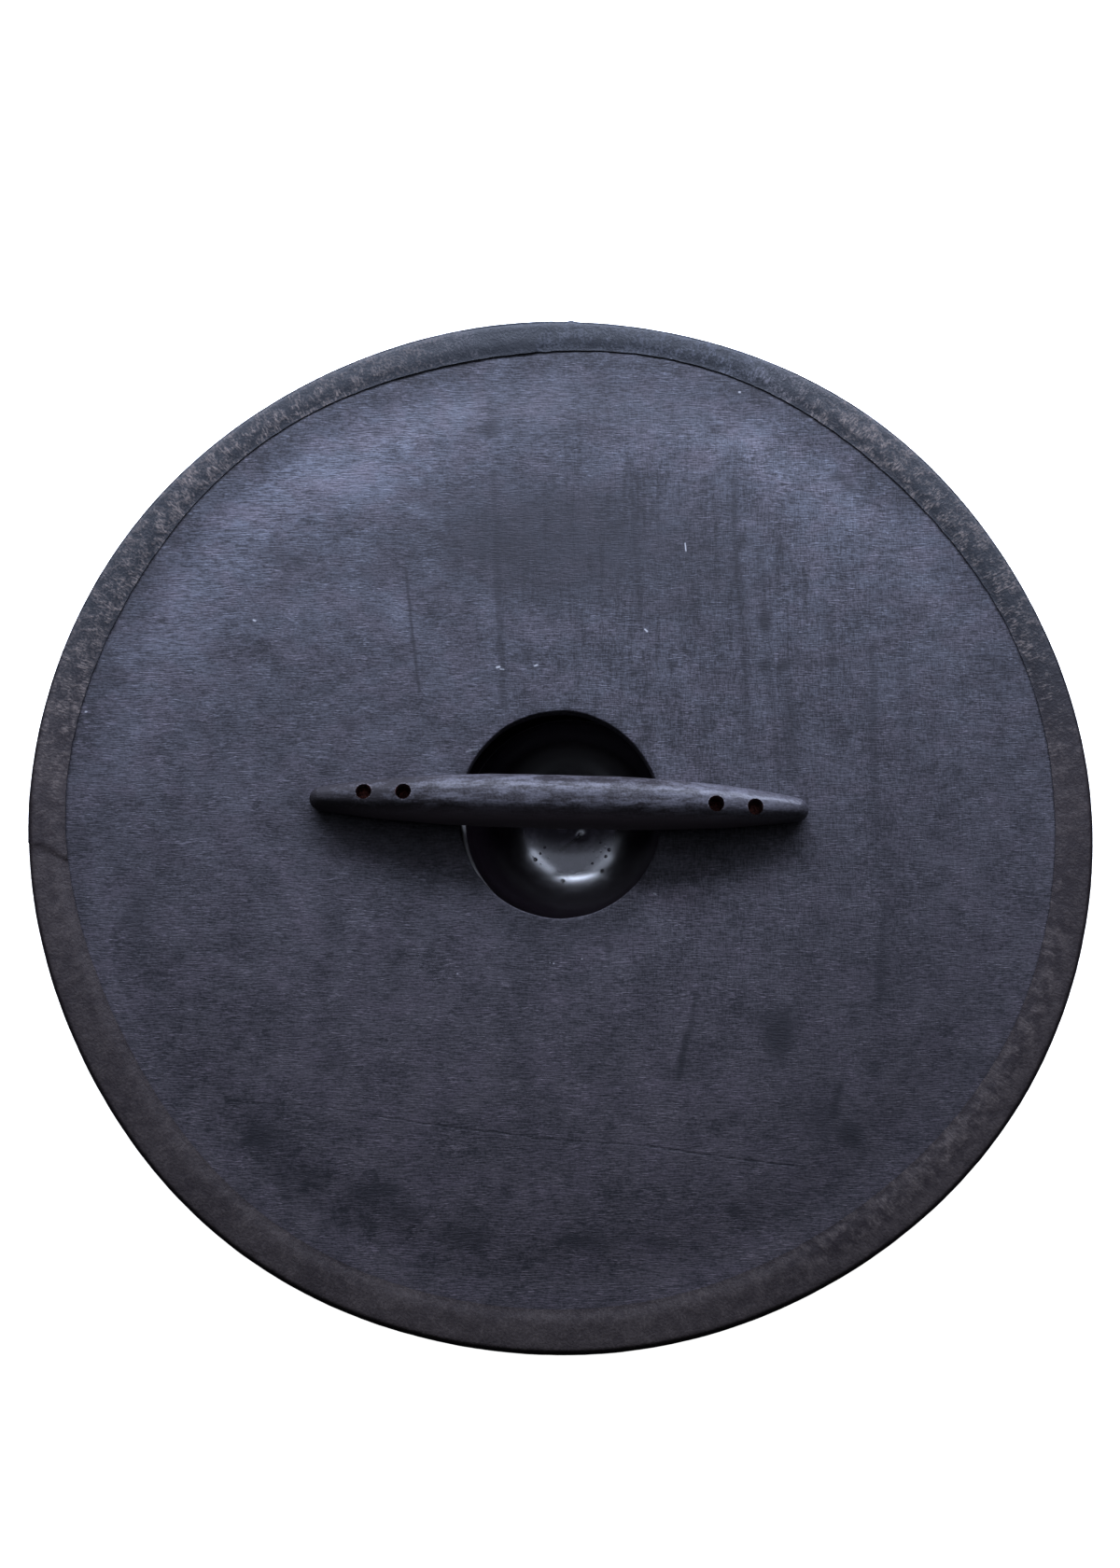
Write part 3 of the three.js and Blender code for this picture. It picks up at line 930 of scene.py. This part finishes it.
def pinProfile(headRadius, headHeight, shankRadius, length):  # head below 0, shank above it
    head = [(headRadius * math.sin(turn), -headHeight * math.cos(turn))
            for turn in np.linspace(0, math.pi / 2, pins["headSteps"])]
    under = [(x, 0) for x in np.linspace(headRadius - 0.2, shankRadius, 4)]
    return head + under + [(shankRadius, length - pins["point"]), (0.4, length), (0, length)]


def buildScrew(number, node):
    low, high = corners(node)
    x, y = middleOf(node)
    profile = pinProfile(pins["screwHead"], pins["screwHeadHeight"], pins["screwShank"],
                         high[2] - low[2] - pins["screwHeadHeight"])
    spots = turnedSpots([(radius, -height) for radius, height in profile], pins["turns"], 0, 0)
    pitted = pins["screwPitting"] * unevenness(spots, pins["pitSize"], 50 + number)
    pitted[:, 0] = pitted[0, 0]
    spots[:, :pins["headSteps"], 2] += pitted[:, :pins["headSteps"]]
    spots += np.array([x, y, high[2] - pins["screwHeadHeight"]])
    piece = ringPiece(f"rustyScrew{number}", spots, closed=False, sharp=40)
    cutSlot(piece, x, y, high[2], math.radians(grip["degrees"] + pins["slotStep"] * (number - 1)))
    return piece


def cutSlot(piece, x, y, top, turn):
    reach, half = pins["screwHead"] + 1, pins["slotWidth"] / 2
    cutter = bpy.data.meshes.new("slot")
    work = bmesh.new()
    place = Matrix.Translation(Vector((x, y, top)) * mm) @ Matrix.Rotation(turn, 4, "Z")
    size = Matrix.Diagonal((2 * reach * mm, 2 * half * mm, 2 * pins["slotDepth"] * mm, 1))
    bmesh.ops.create_cube(work, size=1, matrix=place @ size)
    work.to_mesh(cutter)
    work.free()
    tool = addObject("slot", cutter)
    cutAway(piece, tool, 40)
    bpy.data.objects.remove(tool)


def buildNail(number, node):
    low, high = corners(node)
    x, y = middleOf(node)
    profile = pinProfile(pins["nailHead"], pins["nailHeadHeight"], pins["nailShank"],
                         high[2] - low[2] - pins["nailHeadHeight"])
    spots = turnedSpots(profile, pins["turns"], 0, 0)
    around = np.arctan2(spots[:, :, 1], spots[:, :, 0])
    facets = 1 - pins["facetDepth"] * (1 + np.cos(pins["nailFacets"] * around + number))
    head = np.arange(spots.shape[1]) <= pins["headSteps"]
    spots[:, :, :2] *= np.where(head, facets, 1)[:, :, None]
    hammered = pins["nailHammer"] * unevenness(spots, pins["hammerSize"], 60 + number) * head
    hammered[:, 0] = hammered[0, 0]
    spots[:, :pins["headSteps"], 2] += np.maximum(0, hammered[:, :pins["headSteps"]])
    spots += np.array([x, y, low[2] + pins["nailHeadHeight"]])
    return ringPiece(f"forgedNail{number}", spots, closed=False, sharp=40)


print("making the pieces")
boardPiece = buildBoard()
stripPiece = buildStrip()
bossPiece = buildBoss()
gripPiece = buildGrip()
screwPieces = [buildScrew(number, node) for number, node in enumerate(screwNodes, 1)]
nailPieces = [buildNail(number, node) for number, node in enumerate(nailNodes, 1)]
print("pieces made")


def strokesOn(tree, place, lines):
    height = boardHigh[2]
    masks = []
    for x, y, endX, endY, width, strength in lines:
        mask = useGroup(tree, stroke, {
            "Vector": place, "Start": (x, y, height), "End": (endX, endY, height), "Width": width,
        })["Mask"]
        masks.append(times(tree, mask, strength))
    return strongest(tree, masks)


def boardMaterial():
    look = boardPaint
    material, tree, shader, place = startMaterial("paintedBoard", look["pale"], look["specular"])
    wavy, loose, bent = [warped(tree, place, *look[name]) for name in ("wavy", "loose", "bent")]
    masks = patternMasks(tree, look["patterns"], {"place": place, "wavy": wavy})
    zones = zoneMasks(tree, aroundPoint(tree, place, (0, 0)), look["zones"])
    for name in ("threadZone", "streakZone"):
        (x, y), reach = look[name]
        zones[name] = spotOn(tree, loose, (x, y, boardHigh[2]), reach)
    for name in ("smudgesAndShade", "scuffs", "browned", "streakLines"):
        masks[name] = stored(tree, name)
    for name in ("cracks", "thinLines"):
        masks[name] = strokesOn(tree, bent, look[name])
    scratches = strokesOn(tree, place, look["scratches"])
    grit = times(tree, specksOn(tree, place, *look["flecks"]), stored(tree, "gritty"))
    masks["nicks"] = specksOn(tree, place, *look["nicks"])
    rimGap = stored(tree, "rimGap")
    # painted shade along the leather's inner edge
    masks["rimEdgeShade"] = remap(tree, rimGap, *look["rimEdgeShade"])
    masks["rimShade"] = times(tree, remap(tree, rimGap, *look["rimShade"]), zones["upper"])
    # painted highlight on the upper side of the band near the rim, and painted shade, broken by blotches, on
    # its lower side
    band = times(tree, remap(tree, rimGap, *look["bandOuter"]), remap(tree, rimGap, *look["bandInner"]))
    sunny = calc(tree, "MAXIMUM", zones["sunnyLeft"], times(tree, zones["sunnyRight"], 0.5))
    masks["bright"] = times(tree, band, sunny)
    masks["highlightGrain"] = times(tree, masks["grain"], masks["bright"])
    patchy = calc(tree, "MULTIPLY_ADD", masks["blotches"], 0.7, 0.3)
    masks["dark"] = times(tree, times(tree, band, zones["shadedSide"]), patchy)
    masks["dashed"] = times(tree, masks["dashes"], masks["dashZones"])
    masks["crossed"] = times(tree, calc(tree, "SUBTRACT", masks["threads"], 0.5), zones["threadZone"])
    masks["streaked"] = times(tree, masks["streaks"], zones["streakZone"])
    held = clamped(tree, weigh(tree, look["tone"], look["weights"], masks))
    for name, strength in look["cover"].items():
        held = times(tree, held, calc(tree, "MULTIPLY_ADD", masks[name], -strength, 1.0))
    downward = remap(tree, partsOf(tree, place)["Y"], *look["downward"])
    pale = mixColour(tree, downward, look["pale"], look["palePlum"])
    plum = calc(tree, "MAXIMUM", times(tree, masks["plum"], 0.5), masks["browned"])
    painted = mixColour(tree, held, look["deep"], mixColour(tree, plum, pale, look["plum"]))
    feed(tree, shader,
         Base_Color=mixColour(tree, calc(tree, "MAXIMUM", scratches, grit), painted, look["chip"]),
         Roughness=remap(tree, held, 0.0, 1.0, look["roughDeep"], look["roughPale"]))
    grooves(tree, shader, look, masks)
    return material


# Black leather, worn to a brown-grey where hands and walls rub it
leather = {
    "deep": (0.016, 0.018, 0.024),
    "deepPlum": (0.031, 0.024, 0.027),  # towards the bottom of the picture
    "pale": (0.184, 0.154, 0.143),
    # bluish painted sheen, at the very top and on the painted edge highlight
    "coolSheen": (0.105, 0.110, 0.134),
    "specular": 0.4,
    "roughDeep": 0.5,
    "roughPale": 0.68,
    "streakLength": 2.6,  # times their width, across the band
    "patterns": {  # as the board's
        "streaks": ("unrolled", even, 1.15, 4, 0.46, 0.62),
        "pores": ("place", even, 1.4, 3, 0.36, 0.64),
        "patchy": ("place", even, 7, 4, 0.36, 0.64),
        "broad": ("place", even, 40, 3, 0.35, 0.65),
    },
    "zones": {  # degrees, where it starts and is full
        "upperLeft": (145, 0.72, 0.95),
        "upperRight": (42, 0.72, 0.95),
        "lowerRight": (325, 0.82, 0.95),
        "upper": (90, 0, 0.5),
        "top": (82, 0.9, 0.985),
        "rightSide": (0, 0.7, 0.95),
        "leftSide": (190, 0.8, 0.97),
        "bottomSide": (272, 0.86, 0.97),
    },
    "wear": {"upperLeft": 1, "upperRight": 0.95, "lowerRight": 0.4},
    "leastWear": 0.22,
    "outerWear": 0.62,  # share of the wear that reaches the outer edge
    "inner": (0.75, 0.4),  # shares of the band: where each part ends and is full
    # painted shade along the inner edge on the upper half, a painted highlight along the outer edge on the
    # upper half, painted shade along the outer edge on the lower half
    "innerEdgeShade": (0.07, 0),
    "edgeHighlight": (0.9, 0.97),
    "outerEdgeShade": (0.9, 0.98),
    "spots": {  # middle and reach
        "darkLap": ((-33, 291), (30, 18, 12)),
        "rightPatch": ((287, 68), (24, 40, 12)),
    },
    "nicks": ((-176, 250, 1.4), (-230.5, 201, 1.4)),  # x, y and reach of two pale chips
    "tone": 0.135,
    "weights": {
        "poresHere": 1, "patchyHere": 1, "broadHere": 0.1, "rubbed": 0.66, "scraped": 0.16, "edgeHighlight": 0.24,
        "upper": -0.09, "rightSide": -0.07, "leftSide": -0.04, "lowerRight": -0.10, "bottomSide": 0.05,
        "nicks": 0.9, "darkLap": -0.3, "rightPatch": -0.16, "innerEdgeShade": -0.10, "outerEdgeShade": -0.3,
    },
    "contrast": {"pores": (0.24, 0.1), "patchy": (0.14, 0.06)},  # more in the upper half, and everywhere
    "relief": {"pores": 0.5, "rubbed": 0.6, "patchy": 0.6},
    "depth": 0.18,
    "bump": 0.6,
}


def leatherMaterial():
    look = leather
    material, tree, shader, place = startMaterial("edgeLeather", look["pale"], look["specular"])
    ring = aroundPoint(tree, place, (0, 0))
    inward = calc(tree, "SUBTRACT", ring["Radius"], partsOf(tree, place)["Z"])
    unrolled = addNode(tree, "CombineXYZ", {
        "X": times(tree, ring["Toward X"], shieldRadius),
        "Y": times(tree, ring["Toward Y"], shieldRadius),
        "Z": calc(tree, "DIVIDE", inward, look["streakLength"]),
    }).outputs[0]
    masks = patternMasks(tree, look["patterns"], {"place": place, "unrolled": unrolled})
    masks.update(zoneMasks(tree, ring, look["zones"]))
    share = stored(tree, "bandShare")
    upper = masks["upper"]
    masks["lowerRight"] = times(tree, masks["lowerRight"], remap(tree, share, *look["inner"]))
    worn = strongest(tree, [times(tree, masks[name], wear) for name, wear in look["wear"].items()])
    worn = times(tree, calc(tree, "MAXIMUM", worn, look["leastWear"]),
                 remap(tree, share, 1.0, 0.45, look["outerWear"], 1.0))
    masks["rubbed"] = times(tree, masks["streaks"], times(tree, worn, masks["patchy"]))
    masks["scraped"] = times(tree, masks["lowerRight"], masks["patchy"])
    for name, ((x, y), reach) in look["spots"].items():
        masks[name] = spotOn(tree, place, (x, y, stripHigh[2]), reach)
    masks["nicks"] = strongest(tree, [
        spotOn(tree, place, (x, y, stripHigh[2] - 2), (reach, reach, 5)) for x, y, reach in look["nicks"]])
    # painted shade at the inner edge on the upper half, painted highlight at the outer edge on the upper
    # half, painted shade at the outer edge on the lower half
    masks["innerEdgeShade"] = times(tree, remap(tree, share, *look["innerEdgeShade"]), upper)
    masks["edgeHighlight"] = times(tree, remap(tree, share, *look["edgeHighlight"]), times(tree, upper, masks["broad"]))
    lowerHalf = calc(tree, "SUBTRACT", 1.0, upper)
    masks["outerEdgeShade"] = times(tree, remap(tree, share, *look["outerEdgeShade"]), lowerHalf)
    for name, (more, least) in look["contrast"].items():
        masks[name + "Here"] = times(tree, calc(tree, "SUBTRACT", masks[name], 0.5),
                                     calc(tree, "MULTIPLY_ADD", upper, more, least))
    masks["broadHere"] = calc(tree, "SUBTRACT", masks["broad"], 0.5)
    held = clamped(tree, weigh(tree, look["tone"], look["weights"], masks))
    # bluish painted sheen at the very top and on the edge highlight
    pale = mixColour(tree, calc(tree, "MAXIMUM", masks["top"], masks["edgeHighlight"]), look["pale"], look["coolSheen"])
    deep = mixColour(tree, upper, look["deepPlum"], look["deep"])
    feed(tree, shader,
         Base_Color=mixColour(tree, held, deep, pale),
         Roughness=remap(tree, held, 0.0, 0.6, look["roughDeep"], look["roughPale"]))
    grooves(tree, shader, look, masks)
    return material


# Thick gloss black paint over iron, with grit in it
bossPaint = {
    "deep": (0.0062, 0.0036, 0.0060),
    "dusty": (0.009, 0.008, 0.010),
    "bareIron": (0.13, 0.12, 0.12),
    # painted highlight on the mouth's bend
    "mouthHighlight": (0.85, 0.83, 0.83),
    "dustAndSheen": (0.138, 0.119, 0.158),  # dust and painted sheen at the bottom of the dome
    "specular": 1.0,
    "ior": 1.75,
    "patterns": {  # as the board's
        "ripple": ("place", even, 5, 2, 0.2, 0.8),
        "dustAndSheen": ("place", even, 6, 4, 0.45, 0.75),
        "chips": ("place", even, 2.2, 3, 0.56, 0.62),
    },
    "beads": (2.4, 0.34, 0.16),  # cell, reach in cells and chance
    "mouthHighlightArc": (202, 0.80, 0.88),  # of the painted highlight on the mouth's bend: degrees, where it starts and is full
    "drops": (  # x, y and reach of drops and grit that dried in the paint
        (12.1, 1.8, 1.5), (-15, -14, 1.3), (-9.5, -6, 0.9), (29, -8, 1.2), (27, -12, 1), (25, -21, 1.2),
        (1.4, -27, 1.4), (24, -3, 0.8), (-12, -10, 0.8), (19, -16, 0.8),
    ),
    "glint": (12.7, 2.7, 2),  # x, y and reach of a painted highlight on the tip of the largest drop
    "nubShadow": (11.2, 0.8, 0.3, -7.4, 1.8),  # start x and y, end x and y and width of the painted shadow that the largest drop casts
    "nubShadowStrength": 0.75,
    "sheen": (5.4, 5.6),  # middle of the clean round in the dome, and its size
    "sheenRadius": 20,
    "gritRing": (-8, 2, 7, 13),  # from the sheen's edge: starts, full, still full, ends
    "dustAndSheenRound": (10.5, 5.5),  # pale round of dust and painted sheen, from the sheen's edge: ends, full
    "dustiness": {"dustAndSheen": 0.5, "outer": 0.25},
    "roughInside": 0.18,
    "roughness": {"outer": 0.12, "dustAndSheen": 0.03, "bare": 0.2, "flat": 0.7},
    "relief": {"grit": 0.8, "rippled": 0.16, "drops": 1.6 / 0.26},
    "depth": 0.26,
    "bump": 0.4,
}


def bossMaterial():
    look = bossPaint
    material, tree, shader, place = startMaterial("bossPaint", look["deep"], look["specular"], look["ior"])
    masks = patternMasks(tree, look["patterns"], {"place": place})
    outer, edge, mouth = [stored(tree, name) for name in ("outerSide", "flangeEdge", "mouthEdge")]
    # painted highlight on the lower-left part of the mouth's bend
    worn = times(tree, mouth, facing(tree, aroundPoint(tree, place, bossMiddle), *look["mouthHighlightArc"]))
    fromSheen = aroundPoint(tree, place, look["sheen"])["Radius"]
    starts, full, stillFull, ends = [look["sheenRadius"] + step for step in look["gritRing"]]
    gritty = times(tree, remap(tree, fromSheen, starts, full), remap(tree, fromSheen, ends, stillFull))
    masks["grit"] = times(tree, specksOn(tree, place, *look["beads"]), gritty)
    masks["rippled"] = times(tree, masks["ripple"], gritty)
    masks["drops"] = strongest(tree, [
        spotOn(tree, place, (x, y, bossLow[2] + 8), (reach, reach, 40)) for x, y, reach in look["drops"]])
    masks["outer"] = outer
    masks["bare"] = times(tree, masks["chips"], times(tree, edge, outer))
    # pale round of dust and painted sheen at the bottom of the dome
    dustAndSheenRound = times(tree, remap(tree, fromSheen, *[look["sheenRadius"] + step for step in look["dustAndSheenRound"]]),
                    calc(tree, "SUBTRACT", 1.0, outer))
    # painted shadow of the largest drop, cut into the pale round
    x, y, endX, endY, width = look["nubShadow"]
    nubShadow = useGroup(tree, stroke, {
        "Vector": vectorCalc(tree, "MULTIPLY", place, (1, 1, 0)),
        "Start": (x, y, 0), "End": (endX, endY, 0), "Width": width,
    })["Mask"]
    dustAndSheenRound = times(tree, dustAndSheenRound, calc(tree, "MULTIPLY_ADD", nubShadow, -look["nubShadowStrength"], 1.0))
    # painted highlight on the largest drop
    x, y, reach = look["glint"]
    worn = calc(tree, "MAXIMUM", worn, spotOn(tree, place, (x, y, bossLow[2] + 2), (reach, reach, 12)))
    painted = mixColour(tree, weigh(tree, 0.0, look["dustiness"], masks), look["deep"], look["dusty"])
    dustAndSheenRound = times(tree, dustAndSheenRound, calc(tree, "MULTIPLY_ADD", masks["dustAndSheen"], 0.5, 0.6))
    painted = mixColour(tree, dustAndSheenRound, painted, look["dustAndSheen"])
    chipped = mixColour(tree, masks["bare"], painted, look["bareIron"])
    bendStart = bossHigh[2] - boss["bend"]
    flat = remap(tree, partsOf(tree, place)["Z"], bendStart - 0.5, bendStart + 1.5)
    masks["flat"] = times(tree, flat, calc(tree, "SUBTRACT", 1.0, calc(tree, "MAXIMUM", outer, worn)))
    feed(tree, shader,
         Base_Color=mixColour(tree, worn, chipped, look["mouthHighlight"]),
         Metallic=calc(tree, "MAXIMUM", times(tree, masks["bare"], 0.8), masks["flat"]),
         Roughness=weigh(tree, look["roughInside"], look["roughness"], masks))
    grooves(tree, shader, look, masks)
    return material


# Black-painted wood, rubbed along the ridge, with a painted sheen on its upper part, a painted highlight on
# its right end and painted fill light on its underside
gripPaint = {
    "deep": (0.026, 0.022, 0.026),
    # pale bluish smears on the upper part: rubbed paint and painted sheen
    "rubbed": (0.150, 0.146, 0.170),
    # lighter underside: painted fill light
    "under": (0.142, 0.112, 0.128),
    "chip": (0.30, 0.27, 0.28),
    "rust": (0.26, 0.085, 0.075),
    "specular": 0.4,
    "patterns": {  # as the board's
        "grain": ("wavy", (9, 1, 1), 0.9, 3, 0.3, 0.7),
        "smears": ("wavy", (3, 1, 1), 4, 5, 0.42, 0.62),
        "mottle": ("place", even, 1.4, 3, 0.34, 0.66),
        "ragged": ("place", even, 1.3, 2, 0.52, 0.62),
    },
    "backStrip": (-22, -8, 50, 78),  # along the grip: starts, full, still full, ends
    # lighter and glossier right end: painted highlight along its ridge
    "rightEnd": (40, 110),
    "leftEnd": (-55, -100),
    "lower": (0.66, 0.94),  # shares of the width where the painted fill light on the underside starts and is full
    "tone": -0.095,  # to which the masks add these shares
    "weights": {
        "grain": 0.2, "mottle": 0.3, "rubbed": 0.46, "backStrip": -0.22, "rightEnd": 0.24, "leftEnd": -0.24,
    },
    "chipStrength": 0.3,
    "rustStrength": 0.85,
    "rough": 0.58,
    "roughness": {"held": -0.08, "backStrip": 0.3, "leftEnd": 0.12, "lower": 0.2, "rightEnd": -0.12},
    "relief": {"grain": 0.5, "mottle": 0.35, "smears": 0.5, "chipped": -0.8},
    "depth": 0.12,
    "bump": 0.6,
}


def gripMaterial():
    look = gripPaint
    material, tree, shader, place = startMaterial("gripWood", look["deep"], look["specular"])
    wavy = warped(tree, place, 14, 0.8)
    masks = patternMasks(tree, look["patterns"], {"place": place, "wavy": wavy})
    parts = partsOf(tree, place)
    # lighter smears rising towards the top: rubbed paint and painted sheen where the light falls on the upper
    # part
    masks["rubbed"] = times(tree, masks["smears"], remap(tree, parts["Z"], gripLow[2] + 8, gripHigh[2] - 1))
    holeGap = stored(tree, "holeGap")
    onLip = times(tree, remap(tree, holeGap, 1.6, 0.3), remap(tree, holeGap, -0.6, 0.0))
    masks["chipped"] = times(tree, onLip, masks["ragged"])
    inHole = remap(tree, holeGap, 0.1, -0.25)
    across = calc(tree, "MULTIPLY_ADD", parts["X"], -math.tan(math.radians(grip["degrees"])), parts["Y"])
    fromBack = calc(tree, "SUBTRACT", gripMiddle[1] + grip["width"] / 2, across)
    starts, full, stillFull, ends = look["backStrip"]
    masks["backStrip"] = times(tree, remap(tree, fromBack, 8.0, 5.0), times(
        tree, remap(tree, parts["X"], starts, full), remap(tree, parts["X"], ends, stillFull)))
    masks["lower"] = remap(tree, fromBack, *[grip["width"] * share for share in look["lower"]])
    for name in ("rightEnd", "leftEnd"):
        masks[name] = remap(tree, parts["X"], *look[name])
    masks["held"] = clamped(tree, weigh(tree, look["tone"], look["weights"], masks))
    painted = mixColour(tree, masks["held"], look["deep"], look["rubbed"])
    # painted fill light on the underside
    painted = mixColour(tree, masks["lower"], painted, look["under"])
    chips = mixColour(tree, times(tree, masks["chipped"], look["chipStrength"]), painted, look["chip"])
    feed(tree, shader,
         Base_Color=mixColour(tree, times(tree, inHole, look["rustStrength"]), chips, look["rust"]),
         Roughness=weigh(tree, look["rough"], look["roughness"], masks))
    grooves(tree, shader, look, masks)
    return material


rust = {
    "dark": (0.080, 0.032, 0.030),
    "bright": (0.36, 0.125, 0.095),
    "specular": 0.3,
    "patterns": {"crust": ("place", even, 1.1, 4, 0.35, 0.65)},
    "pits": (0.9, 0.4, 0.5),  # cell, reach in cells and chance
    "weights": {"crust": 0.9, "pits": -0.5},
    "relief": {"crust": 0.6, "pits": -0.6},
    "depth": 0.2,
    "bump": 0.7,
}


def rustMaterial():
    look = rust
    material, tree, shader, place = startMaterial("rustyScrew", look["bright"], look["specular"])
    masks = patternMasks(tree, look["patterns"], {"place": place})
    masks["pits"] = specksOn(tree, place, *look["pits"])
    held = clamped(tree, weigh(tree, 0.0, look["weights"], masks))
    feed(tree, shader,
         Base_Color=mixColour(tree, held, look["dark"], look["bright"]),
         Metallic=remap(tree, masks["crust"], 0.3, 0.0, 0.0, 0.5),
         Roughness=remap(tree, masks["crust"], 0.0, 1.0, 0.6, 0.9))
    grooves(tree, shader, look, masks)
    return material


nailIron = {
    "paint": (0.010, 0.010, 0.013),
    "worn": (0.16, 0.155, 0.16),
    "specular": 0.5,
    "patterns": {"scale": ("place", even, 1.6, 4, 0.5, 0.62)},
    "marks": (2.4, 0.6, 0.6),  # of the hammer: cell, reach in cells and chance
    "relief": {"marks": 0.6, "scale": 0.3},
    "depth": 0.2,
    "bump": 0.6,
}


def nailMaterial():
    look = nailIron
    material, tree, shader, place = startMaterial("blackNail", look["paint"], look["specular"])
    masks = patternMasks(tree, look["patterns"], {"place": place})
    masks["marks"] = specksOn(tree, place, *look["marks"])
    low = bossHigh[2] - boss["wall"] - fit - pins["nailHeadHeight"]
    crown = remap(tree, partsOf(tree, place)["Z"], low + 1.2, low + 0.1)
    bare = times(tree, masks["scale"], crown)
    feed(tree, shader,
         Base_Color=mixColour(tree, bare, look["paint"], look["worn"]),
         Metallic=bare,
         Roughness=remap(tree, masks["scale"], 0.0, 1.0, 0.38, 0.52))
    grooves(tree, shader, look, masks)
    return material


def dress(piece, material, slotName, *nodes):
    piece.data.materials.clear()
    piece.data.materials.append(material)
    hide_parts(*nodes)
    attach(piece, "root")


dress(boardPiece, boardMaterial(), "painted_board", "board")
dress(stripPiece, leatherMaterial(), "edge_leather", "edge_strip")
dress(bossPiece, bossMaterial(), "boss_paint", "boss")
dress(gripPiece, gripMaterial(), "grip_wood", "grip")
rustLook, nailLook = rustMaterial(), nailMaterial()
for piece, node in zip(screwPieces, screwNodes):
    dress(piece, rustLook, "rusty_screw", node)
for piece, node in zip(nailPieces, nailNodes):
    dress(piece, nailLook, "black_nail", node)
print("materials ready")


# Studio: a pale floor, a wide window low over the top of the picture and a dim soft light above
studio = {
    "floorHalf": 12000,
    "floorColour": (0.9, 0.9, 0.9),
    "floorRough": 0.9,
    "floorGlow": 1.0,  # keeps the paper white where the shield's shadow falls
    "worldColour": (0.86, 0.92, 1.0),
    "worldStrength": 0.03,
    "lights": (  # name, place, aim, width and length, power
        ("window", (0, 880, 575), (0, 0, 65), (2100, 260), 36),
        ("windowRight", (600, 720, 840), (0, 0, 65), (620, 260), 1.3),
        ("windowLeft", (-560, 700, 760), (0, 0, 65), (560, 200), 0.45),
        ("wall", (0, 800, 1000), (0, 800, 0), (2100, 700), 3.6),
        ("sideRight", (880, 150, 950), (0, 150, 65), (1300, 500), 0.8),
        ("sideLeft", (-880, 150, 950), (0, 150, 65), (1300, 500), 0.8),
        ("ceiling", (0, 350, 1900), (0, 350, 0), (2300, 1250), 2.6),
    ),
    "lightColour": (0.85, 0.93, 1.12),
    "gamma": 0.8,  # the picture's darks are deep
}


def buildFloor():
    half = studio["floorHalf"]
    steps = np.linspace(-half, half, 9)
    mesh = bpy.data.meshes.new("paleFloor")
    spots = [(x * mm, y * mm, -0.2 * mm) for y in steps for x in steps]
    count = len(steps)
    firsts = [row * count + cell for row in range(count - 1) for cell in range(count - 1)]
    faces = [(first, first + 1, first + count + 1, first + count) for first in firsts]
    mesh.from_pydata(spots, [], faces)
    floor = addObject("paleFloor", mesh)
    material, tree, shader, _ = startMaterial("paleFloor", studio["floorColour"])
    feed(tree, shader, Base_Color=studio["floorColour"], Roughness=studio["floorRough"],
         Emission_Color=(1, 1, 1), Emission_Strength=studio["floorGlow"])
    mesh.materials.append(material)
    floor.visible_diffuse = False
    floor.visible_glossy = False


def softLight(name, place, aim, size, power):
    light = bpy.data.lights.new(name, "AREA")
    light.shape = "RECTANGLE"
    light.size, light.size_y = size[0] * mm, size[1] * mm
    light.energy = power
    light.color = studio["lightColour"]
    lamp = addObject(name, light)
    lamp.location = Vector(place) * mm
    lamp.rotation_euler = (Vector(aim) - Vector(place)).to_track_quat("-Z", "Y").to_euler()
    lamp.visible_camera = False


def buildWorld():
    world = bpy.data.worlds.new("studio")
    world.use_nodes = True
    feed(world.node_tree, world.node_tree.nodes["Background"],
         Color=studio["worldColour"], Strength=studio["worldStrength"])
    bpy.context.scene.world = world


buildFloor()
buildWorld()
for name, *settings in studio["lights"]:
    softLight(name, *settings)
bpy.context.scene.view_settings.view_transform = "Standard"
bpy.context.scene.view_settings.gamma = studio["gamma"]
print("studio ready")


# Camera, fitted to the outline in the picture
view = {
    "place": (-25.0, -353.7, 1496.3),
    "aim": (-1.28, 17.24, 64.8),
    "lens": 58.93,
    "sensor": 36,
}


def buildCamera():
    data = bpy.data.cameras.new("camera")
    data.sensor_width = view["sensor"]
    data.lens = view["lens"]
    data.clip_end = 50
    place = Vector(view["place"]) * mm
    forward = (Vector(view["aim"]) * mm - place).normalized()
    right = forward.cross(Vector((0, 1, 0))).normalized()
    up = right.cross(forward)
    turn = Matrix((right, up, -forward)).transposed()
    camera = addObject("camera", data)
    camera.matrix_world = Matrix.Translation(place) @ turn.to_4x4()
    bpy.context.scene.camera = camera


buildCamera()

bpy.context.view_layer.update()
